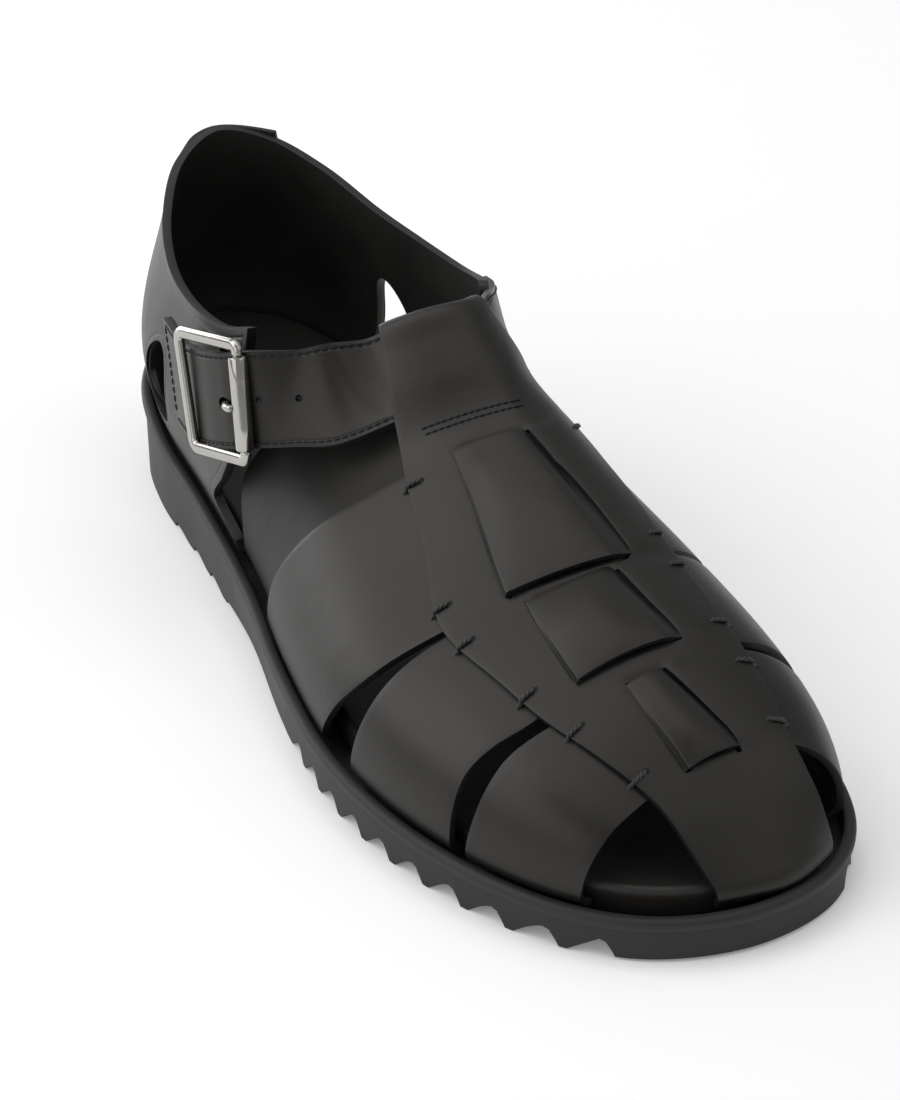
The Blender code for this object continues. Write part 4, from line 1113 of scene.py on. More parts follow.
def math_node(tree, operation, a, b=None, c=None):
    """Math node whose inputs are numbers or sockets; gives its output."""
    node = tree.nodes.new('ShaderNodeMath')
    node.operation = operation
    for socket, value in zip(node.inputs, (a, b, c)):
        if value is None:
            continue
        if isinstance(value, (int, float)):
            socket.default_value = value
        else:
            tree.links.new(value, socket)
    return node.outputs[0]


def noise(tree, vector, scale, detail=3.0, rough=0.5):
    """Noise texture; gives its factor."""
    node = tree.nodes.new('ShaderNodeTexNoise')
    node.inputs['Scale'].default_value = scale
    node.inputs['Detail'].default_value = detail
    node.inputs['Roughness'].default_value = rough
    tree.links.new(vector, node.inputs['Vector'])
    return node.outputs['Fac']


def grain_group():
    """Fine pebble of calf leather: a height for bump and a slow change of tone."""
    if "calf grain" in bpy.data.node_groups:
        return bpy.data.node_groups["calf grain"]
    inputs = [("Vector", 'NodeSocketVector', None), ("Pores", 'NodeSocketFloat', 1300.0)]
    tree, start, end = node_group("calf grain", inputs,
                                  [("Height", 'NodeSocketFloat'), ("Tone", 'NodeSocketFloat')])
    cells = tree.nodes.new('ShaderNodeTexVoronoi')
    cells.feature = 'SMOOTH_F1'
    tree.links.new(start.outputs['Vector'], cells.inputs['Vector'])
    tree.links.new(start.outputs['Pores'], cells.inputs['Scale'])
    fine = noise(tree, start.outputs['Vector'], scale=420.0, detail=4.0, rough=0.6)
    height = math_node(tree, 'MULTIPLY_ADD', fine, 0.8, cells.outputs['Distance'])
    tree.links.new(height, end.inputs['Height'])
    slow = noise(tree, start.outputs['Vector'], scale=38.0, detail=3.0, rough=0.55)
    tree.links.new(slow, end.inputs['Tone'])
    return tree


def edge_group():
    """Pressed line beside an edge and a painted highlight on the edge itself, from the distance to it."""
    if "edge line" in bpy.data.node_groups:
        return bpy.data.node_groups["edge line"]
    inputs = [("Distance", 'NodeSocketFloat', 5.0), ("Line", 'NodeSocketFloat', 1.8),
              ("Width", 'NodeSocketFloat', 0.35)]
    tree, start, end = node_group("edge line", inputs,
                                  [("Height", 'NodeSocketFloat'), ("Edge highlight", 'NodeSocketFloat')])
    away = math_node(tree, 'SUBTRACT', start.outputs['Distance'], start.outputs['Line'])
    share = math_node(tree, 'DIVIDE', away, start.outputs['Width'])
    square = math_node(tree, 'MULTIPLY', share, share)
    bell = math_node(tree, 'EXPONENT', math_node(tree, 'MULTIPLY', square, -1.0))
    tree.links.new(math_node(tree, 'MULTIPLY', bell, -1.0), end.inputs['Height'])
    # Lighter within a millimetre of the edge: a painted highlight along the edge.
    near = math_node(tree, 'MINIMUM', start.outputs['Distance'], 1.0)
    edge_highlight = math_node(tree, 'SUBTRACT', 1.0, near)
    tree.links.new(edge_highlight, end.inputs['Edge highlight'])
    return tree


def new_material(name):
    """Material with its shader, its node tree and an Object coordinate output."""
    mat = bpy.data.materials.new(name)
    mat.use_nodes = True
    tree = mat.node_tree
    coord = tree.nodes.new('ShaderNodeTexCoord')
    return mat, tree, tree.nodes['Principled BSDF'], coord.outputs['Object']


def tint(tree, factor, dark, light, low=0.3, high=0.7):
    """Colour between two tones by a factor."""
    ramp = tree.nodes.new('ShaderNodeValToRGB')
    ramp.color_ramp.elements[0].position = low
    ramp.color_ramp.elements[0].color = (*dark, 1.0)
    ramp.color_ramp.elements[1].position = high
    ramp.color_ramp.elements[1].color = (*light, 1.0)
    tree.links.new(factor, ramp.inputs['Fac'])
    return ramp.outputs['Color']


def bump(tree, shader, height, depth, strength=1.0):
    """Bump from a height whose full range is a depth in millimetres."""
    node = tree.nodes.new('ShaderNodeBump')
    node.inputs['Strength'].default_value = strength
    node.inputs['Distance'].default_value = depth * MM
    tree.links.new(height, node.inputs['Height'])
    tree.links.new(node.outputs['Normal'], shader.inputs['Normal'])


def shade(colour, factor):
    """Colour made darker or lighter."""
    return tuple(min(1.0, c * factor) for c in colour)


def calf_leather(name, line, line_depth, gloss):
    """Satin calf leather with a pressed line at a distance from its edges, or none at depth 0."""
    colours = bpy.context.scene.sandal_colours
    mat, tree, shader, place = new_material(name)
    grain = tree.nodes.new('ShaderNodeGroup')
    grain.node_tree = grain_group()
    tree.links.new(place, grain.inputs['Vector'])
    edge = tree.nodes.new('ShaderNodeGroup')
    edge.node_tree = edge_group()
    edge.inputs['Line'].default_value = line
    distance = tree.nodes.new('ShaderNodeAttribute')
    distance.attribute_name = "edge"
    tree.links.new(distance.outputs['Fac'], edge.inputs['Distance'])
    # The edge output lightens the grain within a millimetre of each edge: a painted highlight along the
    # edges.
    tone = math_node(tree, 'MULTIPLY_ADD', edge.outputs['Edge highlight'], 0.25, grain.outputs['Tone'])
    base = tuple(colours.leather)
    tree.links.new(tint(tree, tone, shade(base, 0.82), shade(base, 1.25)), shader.inputs['Base Color'])
    rough = math_node(tree, 'MULTIPLY_ADD', grain.outputs['Tone'], 0.16, 0.52 - 0.44 * gloss)
    tree.links.new(rough, shader.inputs['Roughness'])
    height = math_node(tree, 'MULTIPLY', grain.outputs['Height'], 0.035)
    height = math_node(tree, 'MULTIPLY_ADD', grain.outputs['Tone'], 0.7, height)
    if line_depth > 0:
        height = math_node(tree, 'MULTIPLY_ADD', edge.outputs['Height'], line_depth, height)
    bump(tree, shader, height, depth=0.5)
    shader.inputs['Specular IOR Level'].default_value = gloss
    shader.inputs['Specular Tint'].default_value = (*colours.sheen, 1.0)
    return mat


def flesh_side(name, base, gloss=0.2):
    """Matt dark lining, also the flesh side of the straps and the insole."""
    mat, tree, shader, place = new_material(name)
    nap = noise(tree, place, scale=900.0, detail=4.0, rough=0.65)
    slow = noise(tree, place, scale=45.0, detail=2.0, rough=0.5)
    tree.links.new(tint(tree, slow, shade(base, 0.75), shade(base, 1.3)), shader.inputs['Base Color'])
    rough = math_node(tree, 'MULTIPLY_ADD', nap, 0.2, 0.62 - 0.5 * gloss)
    tree.links.new(rough, shader.inputs['Roughness'])
    bump(tree, shader, nap, depth=0.12, strength=0.6)
    shader.inputs['Specular IOR Level'].default_value = gloss
    return mat


def cut_edge(name):
    """Dyed and waxed cut edge of the leather."""
    colours = bpy.context.scene.sandal_colours
    mat, tree, shader, place = new_material(name)
    fibre = noise(tree, place, scale=700.0, detail=3.0, rough=0.6)
    base = tuple(colours.leather)
    tree.links.new(tint(tree, fibre, shade(base, 0.7), shade(base, 1.1)), shader.inputs['Base Color'])
    tree.links.new(math_node(tree, 'MULTIPLY_ADD', fibre, 0.2, 0.38), shader.inputs['Roughness'])
    bump(tree, shader, fibre, depth=0.1, strength=0.5)
    return mat


def sole_rubber():
    """Matt moulded rubber with a fine skin and a trace of dust."""
    colours = bpy.context.scene.sandal_colours
    mat, tree, shader, place = new_material("sole rubber")
    skin = noise(tree, place, scale=1500.0, detail=4.0, rough=0.6)
    dust = noise(tree, place, scale=60.0, detail=4.0, rough=0.6)
    base = tuple(colours.rubber)
    tree.links.new(tint(tree, dust, shade(base, 0.85), shade(base, 1.3)), shader.inputs['Base Color'])
    tree.links.new(math_node(tree, 'MULTIPLY_ADD', dust, 0.2, 0.5), shader.inputs['Roughness'])
    bump(tree, shader, skin, depth=0.08, strength=0.5)
    return mat


def buckle_chrome():
    """Polished plated steel with faint hairlines."""
    colours = bpy.context.scene.sandal_colours
    mat, tree, shader, place = new_material("buckle chrome")
    hair = noise(tree, place, scale=2600.0, detail=2.0, rough=0.5)
    smear = noise(tree, place, scale=160.0, detail=3.0, rough=0.6)
    base = tuple(colours.chrome)
    tree.links.new(tint(tree, smear, shade(base, 0.92), base), shader.inputs['Base Color'])
    tree.links.new(math_node(tree, 'MULTIPLY_ADD', smear, 0.12, 0.09), shader.inputs['Roughness'])
    shader.inputs['Metallic'].default_value = 1.0
    bump(tree, shader, hair, depth=0.01, strength=0.3)
    return mat


def waxed_thread(name, base, shine):
    """Twisted thread with a waxed shine."""
    mat, tree, shader, place = new_material(name)
    ply = noise(tree, place, scale=1800.0, detail=2.0, rough=0.5)
    tree.links.new(tint(tree, ply, shade(base, 0.7), shade(base, 1.4)), shader.inputs['Base Color'])
    tree.links.new(math_node(tree, 'MULTIPLY_ADD', ply, 0.2, 0.5), shader.inputs['Roughness'])
    bump(tree, shader, ply, depth=0.06, strength=0.6)
    shader.inputs['Specular IOR Level'].default_value = shine
    return mat


def skin_of(name, line=1.8, line_depth=0.0, gloss=0.42):
    """Materials of a leather piece: grain side, inner side and cut edge."""
    lining = flesh_side(name + " lining", tuple(bpy.context.scene.sandal_colours.lining))
    return [calf_leather(name, line, line_depth, gloss), lining, cut_edge(name + " edge")]


def bottom(y):
    """Height of the tread's tips, flat but for the toe spring."""
    return linear(SPRING, y)


def outline_ring(out, above):
    """Ring of sole points at a distance outside the lip's crest and above the rim."""
    ring = offset_curve(plan_curve(OUTLINE_STEPS), -out)
    return np.c_[ring, rim(ring[:, 1]) + above]


def tread_gaps():
    """Outlines of the gaps between the teeth, the heel steps and the arch of the waist."""
    gaps = []
    for k in range(FORE_GAPS):
        y = FORE_TIP_Y - k * FORE_PITCH
        run = TOE_GAP if k == FORE_GAPS - 1 else FORE_PITCH
        gaps.append([(y - a * run, b + bottom(y - run / 2)) for a, b in FORE_TOOTH])
    for y, ahead in zip(HEEL_TIPS, HEEL_TIPS[1:]):
        gap = [(y - away, z) for away, z in HEEL_STEP]
        gaps.append(gap + [(ahead + away, z) for away, z in HEEL_STEP_END])
    front, back = FORE_TIP_Y + WAIST_FRONT, HEEL_TIPS[-1] - WAIST_BACK
    arch = [(back - away, z) for away, z in WAIST_START]
    for f in np.arange(1, WAIST_STEPS) / WAIST_STEPS:
        rise = WAIST_FLOOR * (1.0 - f) + WAIST_DEEP * math.sin(math.pi * f)
        arch.append((back - WAIST_RUN_IN + (front - back + WAIST_RUN_IN) * f, rise))
    gaps.append(arch + [(front, z) for z in WAIST_END])
    return gaps


def make_outsole():
    """Rubber unit: rings from the tread's edge over the lip to the channel, less the tread's gaps."""
    crest = plan_curve(OUTLINE_STEPS)
    foot = offset_curve(crest, -linear(FOOT_OUT, crest[:, 1]))
    loops = [np.c_[foot, bottom(crest[:, 1])]]
    loops += [outline_ring(out, above) for out, above in LIP]
    loops.append(outline_ring(-CHANNEL_IN, -CHANNEL_DEEP))
    obj = to_object("outsole_rubber", rings(loops), [sole_rubber()])
    carve(obj, to_object("tread_gaps", prisms(tread_gaps(), -GAP_REACH, GAP_REACH), []))
    return finish_piece(obj, "rubber", "outsole", sharp=38.0)


def make_insole():
    """Footbed with a rounded edge and a shallow dish."""
    inside = linear(INSOLE_INSET, plan_curve(OUTLINE_STEPS)[:, 1])
    step_in, step_up = INSOLE_FOOT
    loops = [outline_ring(-inside - step_in, INSOLE_LOW), outline_ring(-inside, INSOLE_LOW + step_up)]
    for step in range(INSOLE_ROUND_STEPS + 1):
        a = 0.5 * math.pi * step / INSOLE_ROUND_STEPS
        inset = inside + INSOLE_ROUND * (1.0 - math.cos(a))
        loops.append(outline_ring(-inset, INSOLE_HIGH - INSOLE_ROUND * (1.0 - math.sin(a))))
    edge = loops[-1]
    spine_y = np.clip(edge[:, 1], INSOLE_SPINE[0][0], INSOLE_SPINE[-1][0])
    spine = np.c_[linear(INSOLE_SPINE, spine_y), spine_y]
    for share in INSOLE_SHARES:
        plan = spine + (edge[:, :2] - spine) * share
        loops.append(np.c_[plan, rim(plan[:, 1]) + INSOLE_HIGH - INSOLE_DISH * (1.0 - share ** 2)])
    leather = flesh_side("insole leather", tuple(bpy.context.scene.sandal_colours.insole), INSOLE_GLOSS)
    return finish_piece(to_object("insole_lining", rings(loops), [leather]), "lining", "insole")


def slit_steps(length, near_start, near_end):
    """Shares along a run in millimetres, about 1 apart and closer beside a slit at either end."""
    close = np.array(SLIT_CLOSE) / length
    clear = SLIT_CLEAR / length
    steps = np.linspace(0.0, 1.0, max(6, int(length)))
    if near_start:
        steps = np.r_[close, steps[steps > close[-1] + clear]]
    if near_end:
        steps = np.r_[steps[steps < 1.0 - close[-1] - clear], 1.0 - close[::-1]]
    return steps


def band_steps(k):
    """Places along one band: slits at 1 and 2, lateral foot at 0 and medial foot at 3."""
    rear, front = crossing(k)
    middle = 0.5 * (rear + front)
    rl, rm, fl, fm = BANDS[k]
    stops = (-BAND_END, 0.5 * (rl + fl), 0.5 * (rm + fm), BAND_END)
    steps = []
    for part, (low, high) in enumerate(zip(stops, stops[1:])):
        dense = np.linspace(low, high, BAND_SAMPLES)
        points = vamp(np.full(BAND_SAMPLES, middle), dense)
        run = np.r_[0.0, np.cumsum(np.linalg.norm(np.diff(points, axis=0), axis=1))]
        share = slit_steps(run[-1], part > 0, part < 2)
        spread = np.interp(share * run[-1], run, dense)
        steps.append(part + (spread - low) / (high - low))
    return np.unique(np.concatenate(steps).round(6))


def band_lift(k, q, f, wide):
    """Height of a band over its own level, proud in front and diving at the medial slit."""
    away = (q - 1.0) * wide
    beside = smooth((np.minimum(q - 1.0, 0.0) * CROSS_BESIDE + CROSS_BESIDE_RUN) / CROSS_BESIDE_RUN)
    u = np.clip(q - 1.0, 0.0, 1.0)
    dive = CROSS_LOW + (1.0 - CROSS_LOW) * smooth((1.0 - u) / CROSS_DIVE)
    dive = dive * smooth((2.0 + 1.0 / wide - q) * wide)
    proud = CROSS_PROUD * smooth(f) ** CROSS_PROUD_CURVE * smooth(away / CROSS_PROUD_RUN)
    along = np.clip(CROSS_SWELL_FROM + CROSS_SWELL_RUN * f, 0.0, 1.0)
    swell = CROSS_SWELL * np.sin(math.pi * u) ** CROSS_SWELL_CURVE * np.sin(math.pi * along)
    side = smooth((q - SIDE_FROM) / (SIDE_PEAK - SIDE_FROM))
    side = side * smooth((SIDE_TO - q) / (SIDE_TO - SIDE_PEAK))
    lift = (CROSS_FLUSH * beside + proud + swell) * dive + SIDE_SWELL * side
    for band, du, df, wide_u, wide_f, high in DENTS:
        if band == k:
            lift = lift + high * np.exp(-((q - 1.0 - du) / wide_u) ** 2 - ((f - df) / wide_f) ** 2)
    return lift


def make_band(k, skin):
    """One cross band: under the side strips of the centre strap and over its middle."""
    rear, front = crossing(k)
    rl, rm, fl, fm = BANDS[k]
    middle = np.array([0.5 * (rear + front)] * 2)
    wide = np.linalg.norm(np.diff(vamp(middle, np.array([0.5 * (rl + fl), 0.5 * (rm + fm)])), axis=0))

    def place(f, q):
        left, right = rl + (fl - rl) * f, rm + (fm - rm) * f
        part = np.minimum(q.astype(int), 2)
        stops = np.stack([np.full(q.shape, -BAND_END), left, right, np.full(q.shape, BAND_END)], 1)
        row = np.arange(len(q))
        t = stops[row, part] + (stops[row, part + 1] - stops[row, part]) * (q - part)
        edges = at(BAND_EDGES, t)
        s = edges[:, 2 * k] + (edges[:, 2 * k + 1] - edges[:, 2 * k]) * f
        return vamp_lift(s, t, BAND_THICK + band_lift(k, q, f, wide))

    fs = np.linspace(0.0, 1.0, max(BAND_ROWS, int((front - rear) / BAND_GRID)))
    bm = sheet(fs, band_steps(k), place)
    return leather_piece("cross_band_%d" % (k + 1), bm, BAND_THICK, skin, ["woven_vamp"], BAND_CENTRE)


def ribbon_path(step):
    """Mid line of the centre strap as arrays of s and lift, from the toe to the loop's flap."""
    mid = TONGUE_LOW + TONGUE_THICK / 2
    keys = TOE_LIFT + [(s, mid) for s in np.arange(*PLAIN_S)]
    for s in LOOP_RISE_S:
        keys.append((s, mid + (LOOP_OUTER - mid) * smooth((LOOP_RISE_S[0] - s) / LOOP_RISE_RUN)))
    bend_s = LOOP_TOP_S + LOOP_BEND_GAP
    keys += [(s, LOOP_OUTER) for s in (*LOOP_OUTER_S, bend_s)]
    centre, radius = 0.5 * (LOOP_OUTER + LOOP_FLAP), 0.5 * (LOOP_OUTER - LOOP_FLAP)
    for a in math.pi * np.arange(1, LOOP_BEND_STEPS) / LOOP_BEND_STEPS:
        keys.append((LOOP_TOP_S - radius * math.sin(a), centre + radius * math.cos(a)))
    keys += [(s, LOOP_FLAP) for s in (bend_s, *LOOP_FLAP_S, FLAP_END_S)]
    keys = np.array(keys)
    run = np.r_[0.0, np.cumsum(np.linalg.norm(np.diff(keys, axis=0), axis=1))]
    fine = np.linspace(0.0, run[-1], int(run[-1] / step))
    return at(np.c_[run, keys], fine)


def slit_stations(s):
    """Lateral and medial slit lines of the centre strap at an array of s."""
    keys, left, right = [], [], []
    for k in range(len(BANDS)):
        for end in crossing(k):
            keys.append(end)
            at_end = slits(k, np.array([end]))
            left.append(at_end[0][0])
            right.append(at_end[1][0])
    edges = at(TONGUE, s)
    wide = edges[:, 1] - edges[:, 0]
    free = smooth((keys[0] - s) / SLIT_FADE) + smooth((s - keys[-1]) / SLIT_FADE)
    sl = np.interp(s, keys, left) * (1.0 - free) + (edges[:, 0] + SLIT_SHARES[0] * wide) * free
    sm = np.interp(s, keys, right) * (1.0 - free) + (edges[:, 1] - SLIT_SHARES[1] * wide) * free
    return edges[:, 0], sl, sm, edges[:, 1]


def make_centre_strap(skin):
    """Centre strap with three pairs of slits and a folded loop at its top."""
    path = ribbon_path(TONGUE_GRID)
    ahead = unit(np.gradient(path, axis=0))
    half = TONGUE_THICK / 2
    outer_s, outer_lift = path[:, 0] + half * ahead[:, 1], path[:, 1] - half * ahead[:, 0]
    left, sl, sm, right = slit_stations(path[:, 0])
    stations = np.stack([left, sl - SLIT_EDGE, sl + SLIT_UNDER, sm - SLIT_UNDER, sm - SLIT_EDGE, right], 1)
    cells = TONGUE_CELLS
    columns = np.concatenate([n + np.arange(c) / c for n, c in enumerate(cells)] + [[float(len(cells))]])
    spans = [crossing(k) for k in range(len(BANDS))]
    loop_row = int(np.argmin(path[:, 0]))

    def place(column, row):
        row = row.astype(int)
        low = np.minimum(column.astype(int), len(cells) - 1)
        f = column - low
        t = stations[row, low] * (1.0 - f) + stations[row, low + 1] * f
        s, lift = outer_s[row], outer_lift[row].copy()
        for rear, front in spans:
            inside = smooth((path[row, 0] - rear + DIP_BEHIND) / DIP_REAR_RUN)
            inside = inside * smooth((front + DIP_AHEAD - path[row, 0]) / DIP_FRONT_RUN)
            middle = smooth((column - DIP_FROM) / DIP_EASE) * smooth((DIP_TO - column) / DIP_EASE)
            lift -= CROSS_DIP * inside * middle * (row < loop_row)
            strip = smooth((column - STRIP_FROM) / STRIP_EASE_IN)
            strip = strip * smooth((STRIP_TO - column) / STRIP_EASE_OUT)
            lift += STRIP_LIFT * inside * strip * (row < loop_row)
        return vamp_lift(s, t, lift - loop_drop(path[row, 0], t))

    bm = sheet(columns, np.arange(len(path)), place)
    width = len(columns)
    open_columns = (cells[0], sum(cells[:3]))
    gone = []
    for face in bm.faces:
        first = min(v.index for v in face.verts)
        row, column = first // width, first % width
        s = 0.5 * (path[row, 0] + path[min(row + 1, len(path) - 1), 0])
        crossed = any(rear + SLIT_REAR < s < front + SLIT_FRONT for rear, front in spans)
        if row < loop_row and column in open_columns and crossed:
            gone.append(face)
    bmesh.ops.delete(bm, geom=gone, context='FACES')
    return leather_piece("centre_strap", bm, TONGUE_WALL, skin, ["woven_vamp"], TONGUE_CENTRE)


def make_instep(skin):
    """Plain band behind the weave, from sole to sole under the centre strap."""

    def place(f, t):
        rear = at(INSTEP_REAR, t)[:, 0]
        return vamp_lift(rear + (INSTEP_FRONT_S - rear) * f, t, INSTEP_HIGH)

    def middle(t):
        return vamp(np.full(t.shape, INSTEP_MIDDLE_S), t)

    ts = even_steps(middle, -INSTEP_END, INSTEP_END, INSTEP_ROWS)
    bm = sheet(np.linspace(0.0, 1.0, INSTEP_COLUMNS), ts, place)
    return leather_piece("instep_band", bm, INSTEP_THICK, skin, ["woven_vamp"], INSTEP_CENTRE)


def smooth_outline(points, steps):
    """Closed outline through points, rounded between them."""
    b = np.array(points, float)
    a, c, d = np.roll(b, 1, 0), np.roll(b, -1, 0), np.roll(b, -2, 0)
    out = []
    for f in np.arange(steps) / steps:
        hermite = (1 + 2 * f) * (1 - f) ** 2 * b + f * (1 - f) ** 2 * (c - a) / 2
        out.append(hermite + f * f * (3 - 2 * f) * c + f * f * (f - 1) * (d - b) / 2)
    return np.stack(out, 1).reshape(-1, b.shape[1])


def make_quarter(skin):
    """Heel cup with a rounded collar edge and a leg in front of each cut-out."""

    def place(p, h):
        reach = MEDIAL_REACH * smooth((h - MEDIAL_REACH_H) / (1.0 - MEDIAL_REACH_H))
        turn = np.maximum(h - MEDIAL_CORNER_H, 0.0) / (1.0 - MEDIAL_CORNER_H)
        reach = reach - MEDIAL_CORNER * (1.0 - np.sqrt(np.maximum(1.0 - turn ** 2, 0.0)))
        return quarter(p * (linear(LEG_FRONT, h) + reach * (p > 0)), h)

    heights = np.concatenate([np.linspace(*run) for run in QUARTER_HEIGHTS])
    bm = sheet(np.linspace(-1.0, 1.0, QUARTER_COLUMNS), heights, place)
    cutters, rounds = [], []
    cuts = (("lateral", CUTOUT_LATERAL, -CUT_REACH), ("medial", CUTOUT_MEDIAL, CUT_REACH))
    for name, outline, reach in cuts:
        outline = smooth_outline(outline, 6)
        cutters.append(to_object("cut_out_" + name, prisms([outline], 0.0, reach), []))
        rounds += [(math.copysign(QUARTER_WALL_X, reach), y, z) for y, z in smooth_outline(outline, 5)]
    rims = point_tree([Vector(((x + FRAME_X) * MM, y * MM, z * MM)) for x, y, z in rounds])
    middle = (*QUARTER_MIDDLE, QUARTER_MIDDLE_Z)
    return leather_piece("heel_quarter", bm, QUARTER_THICK, skin, ["quarter"], middle, cutters, [rims])


def make_heel_tab(skin):
    """Overlay on the outside of the collar at the heel."""

    def place(f, g):
        low = TAB_MID_H + (TAB_END_H - TAB_MID_H) * np.abs(f) ** TAB_CURVE
        top = 1.0 + TAB_RISE * np.maximum(f, 0.0) ** 2
        w = TAB_LATERAL + (TAB_MEDIAL - TAB_LATERAL) * 0.5 * (1.0 + f)
        skive = TAB_SKIVE + (1.0 - TAB_SKIVE) * smooth((1.0 + f) / TAB_SKIVE_RUN)
        return quarter_lift(w, low + (top - low) * g, TAB_GAP + TAB_THICK * skive)

    bm = sheet(np.linspace(-1.0, 1.0, TAB_COLUMNS), np.linspace(0.0, 1.0, TAB_ROWS), place)
    return leather_piece("heel_tab_leather", bm, TAB_THICK, skin, ["heel_tab"], TAB_CENTRE)


def make_strap(skin):
    """Ankle strap, square at its free end and pointed where it is sewn to the medial side."""
    ks = even_steps(lambda k: strap_mid(k, np.full(k.shape, 0.5)), 0.0, STRAP_END, STRAP_COLUMNS)
    bm = sheet(ks, np.linspace(0.0, 1.0, STRAP_ROWS), lambda k, f: strap_face(k, f)[0])
    prong = [(a - PRONG_PLAY, 0.0, n) for a, n, _ in PRONG[:4]]
    bars = [Bar(buckle_points(prong), [PRONG_HOLE] * len(prong), buckle_axes()[1])]
    for k in STRAP_HOLES:
        face, n = strap_face(k, 0.5)
        middle = strap_mid(np.array([k, k + 0.1]), np.full(2, 0.5))
        path = [face[0] + depth * n[0] for depth in STRAP_PUNCH]
        bars.append(Bar(path, [STRAP_HOLE_RADIUS] * 2, unit(middle[1] - middle[0])))
    punch = [to_object("strap_punch", tubes(bars), [])]
    return leather_piece("ankle_strap_leather", bm, STRAP_THICK, skin, ["ankle_strap"],
                         STRAP_CENTRE, punch)


def frame_path():
    """Points and radii round the buckle frame, from the roller's top end to its low end."""
    corners = np.array(BUCKLE_CORNERS)
    places, turns = corners[:, :3], corners[:, 3]
    path = []
    for i in range(len(corners)):
        before, after = unit(places[i - 1] - places[i]), unit(places[(i + 1) % len(corners)] - places[i])
        for f in np.linspace(0.0, 1.0, 9):
            ease = (1.0 - f) ** 2 * before + f ** 2 * after
            path.append(places[i] + turns[i] * ease)
    return path


def make_frame(chrome):
    """Buckle frame with a thin front bar for the roller and a dropped centre bar."""
    out = buckle_axes()[2]
    front, _, raised, _ = BUCKLE_CORNERS[0]
    path = [(front, ROLLER_TOP, raised), (front, ROLLER_TOP + ROLLER_SHOULDER, raised)] + frame_path()
    path += [(front, ROLLER_LOW - ROLLER_SHOULDER, raised), (front, ROLLER_LOW, raised)]
    radii = [FRONT_ROD] + [BUCKLE_ROD] * (len(path) - 2) + [FRONT_ROD]
    bars = [Bar(buckle_points(path), radii, out, sides=24, closed=True, flat=BUCKLE_FLAT)]
    top, low = BUCKLE_CORNERS[0][1] + CENTRE_TOP, BUCKLE_CORNERS[3][1] + CENTRE_LOW
    drop = [(0.0, low + away, n) for away, n in CENTRE_BEND] + [(0.0, 0.0, -CENTRE_DROP)]
    drop += [(0.0, top - away, n) for away, n in reversed(CENTRE_BEND)]
    bars.append(Bar(buckle_points(drop), [CENTRE_ROD] * len(drop), buckle_axes()[0], sides=16))
    obj = to_object("buckle_frame_chrome", tubes(bars), [chrome])
    return finish_piece(obj, "chrome", "buckle_frame", sharp=60.0)


def make_roller(chrome):
    """Roller on the front bar, its ends turned in."""
    out = buckle_axes()[2]
    middle, half = 0.5 * (ROLLER_TOP + ROLLER_LOW), 0.5 * (ROLLER_TOP - ROLLER_LOW) - ROLLER_PLAY
    end = [ROLLER_IN, ROLLER_OUT - ROLLER_EDGE]
    radii = end + [ROLLER_OUT] * (len(ROLLER_STOPS) - 4) + end[::-1]
    front, _, raised, _ = BUCKLE_CORNERS[0]
    path = buckle_points([(front, middle + half * u, raised) for u in ROLLER_STOPS])
    obj = to_object("buckle_roller_chrome", tubes([Bar(path, radii, out, sides=28)]), [chrome])
    return finish_piece(obj, "chrome", "buckle_roller", sharp=50.0)


def make_prong(chrome):
    """Prong on the centre bar, through the strap and onto the roller."""
    _, up, out = buckle_axes()
    table = [(float(i), *row) for i, row in enumerate(PRONG)]
    fine = at(table, np.linspace(0.0, len(PRONG) - 1.0, PRONG_STEPS))
    radii = fine[:, 2].copy()
    radii[-1] *= PRONG_TIP
    shank = np.c_[fine[:, 0], np.zeros(len(fine)), fine[:, 1]]
    sleeve = [(0.0, u * SLEEVE_HALF, -CENTRE_DROP) for u in SLEEVE_STOPS]
    end = [SLEEVE_OUT - SLEEVE_EDGE]
    sleeve_radii = end + [SLEEVE_OUT] * (len(sleeve) - 2) + end
    bars = [Bar(buckle_points(shank), radii, up, sides=18)]
    bars.append(Bar(buckle_points(sleeve), sleeve_radii, out, sides=22))
    obj = to_object("buckle_prong_chrome", tubes(bars), [chrome])
    return finish_piece(obj, "chrome", "buckle_prong", sharp=60.0)


def make_chape(skin):
    """Leather that holds the centre bar, hooked round it and laid on the quarter."""
    table = [(float(i), *row) for i, row in enumerate(CHAPE)]
    fine = at(table, np.linspace(0.0, len(CHAPE) - 1.0, CHAPE_STEPS))
    ahead = unit(np.gradient(fine[:, :2], axis=0)) * CHAPE_THICK / 2

    def place(u, row):
        row = row.astype(int)
        a, n, slant = fine[row].T
        return buckle_points(np.c_[a - ahead[row, 1], u, n + slant * u + ahead[row, 0]])

    bm = sheet(np.linspace(-CHAPE_HALF, CHAPE_HALF, CHAPE_COLUMNS), np.arange(len(fine)), place)
    slot = bmesh.new()
    bmesh.ops.create_cube(slot, size=1.0)
    (a, n), (long, deep) = CHAPE_SLOT_PLACE, CHAPE_SLOT_SIZE
    corners = [(a + long * v.co.x, 2 * CHAPE_SLOT * v.co.y, n + deep * v.co.z) for v in slot.verts]
    set_points(slot.verts, buckle_points(corners))
    bmesh.ops.recalc_face_normals(slot, faces=slot.faces)
    cutters = [to_object("prong_slot", slot, [])]
    return leather_piece("buckle_chape_leather", bm, CHAPE_THICK, skin, ["buckle_chape"],
                         CHAPE_CENTRE, cutters)


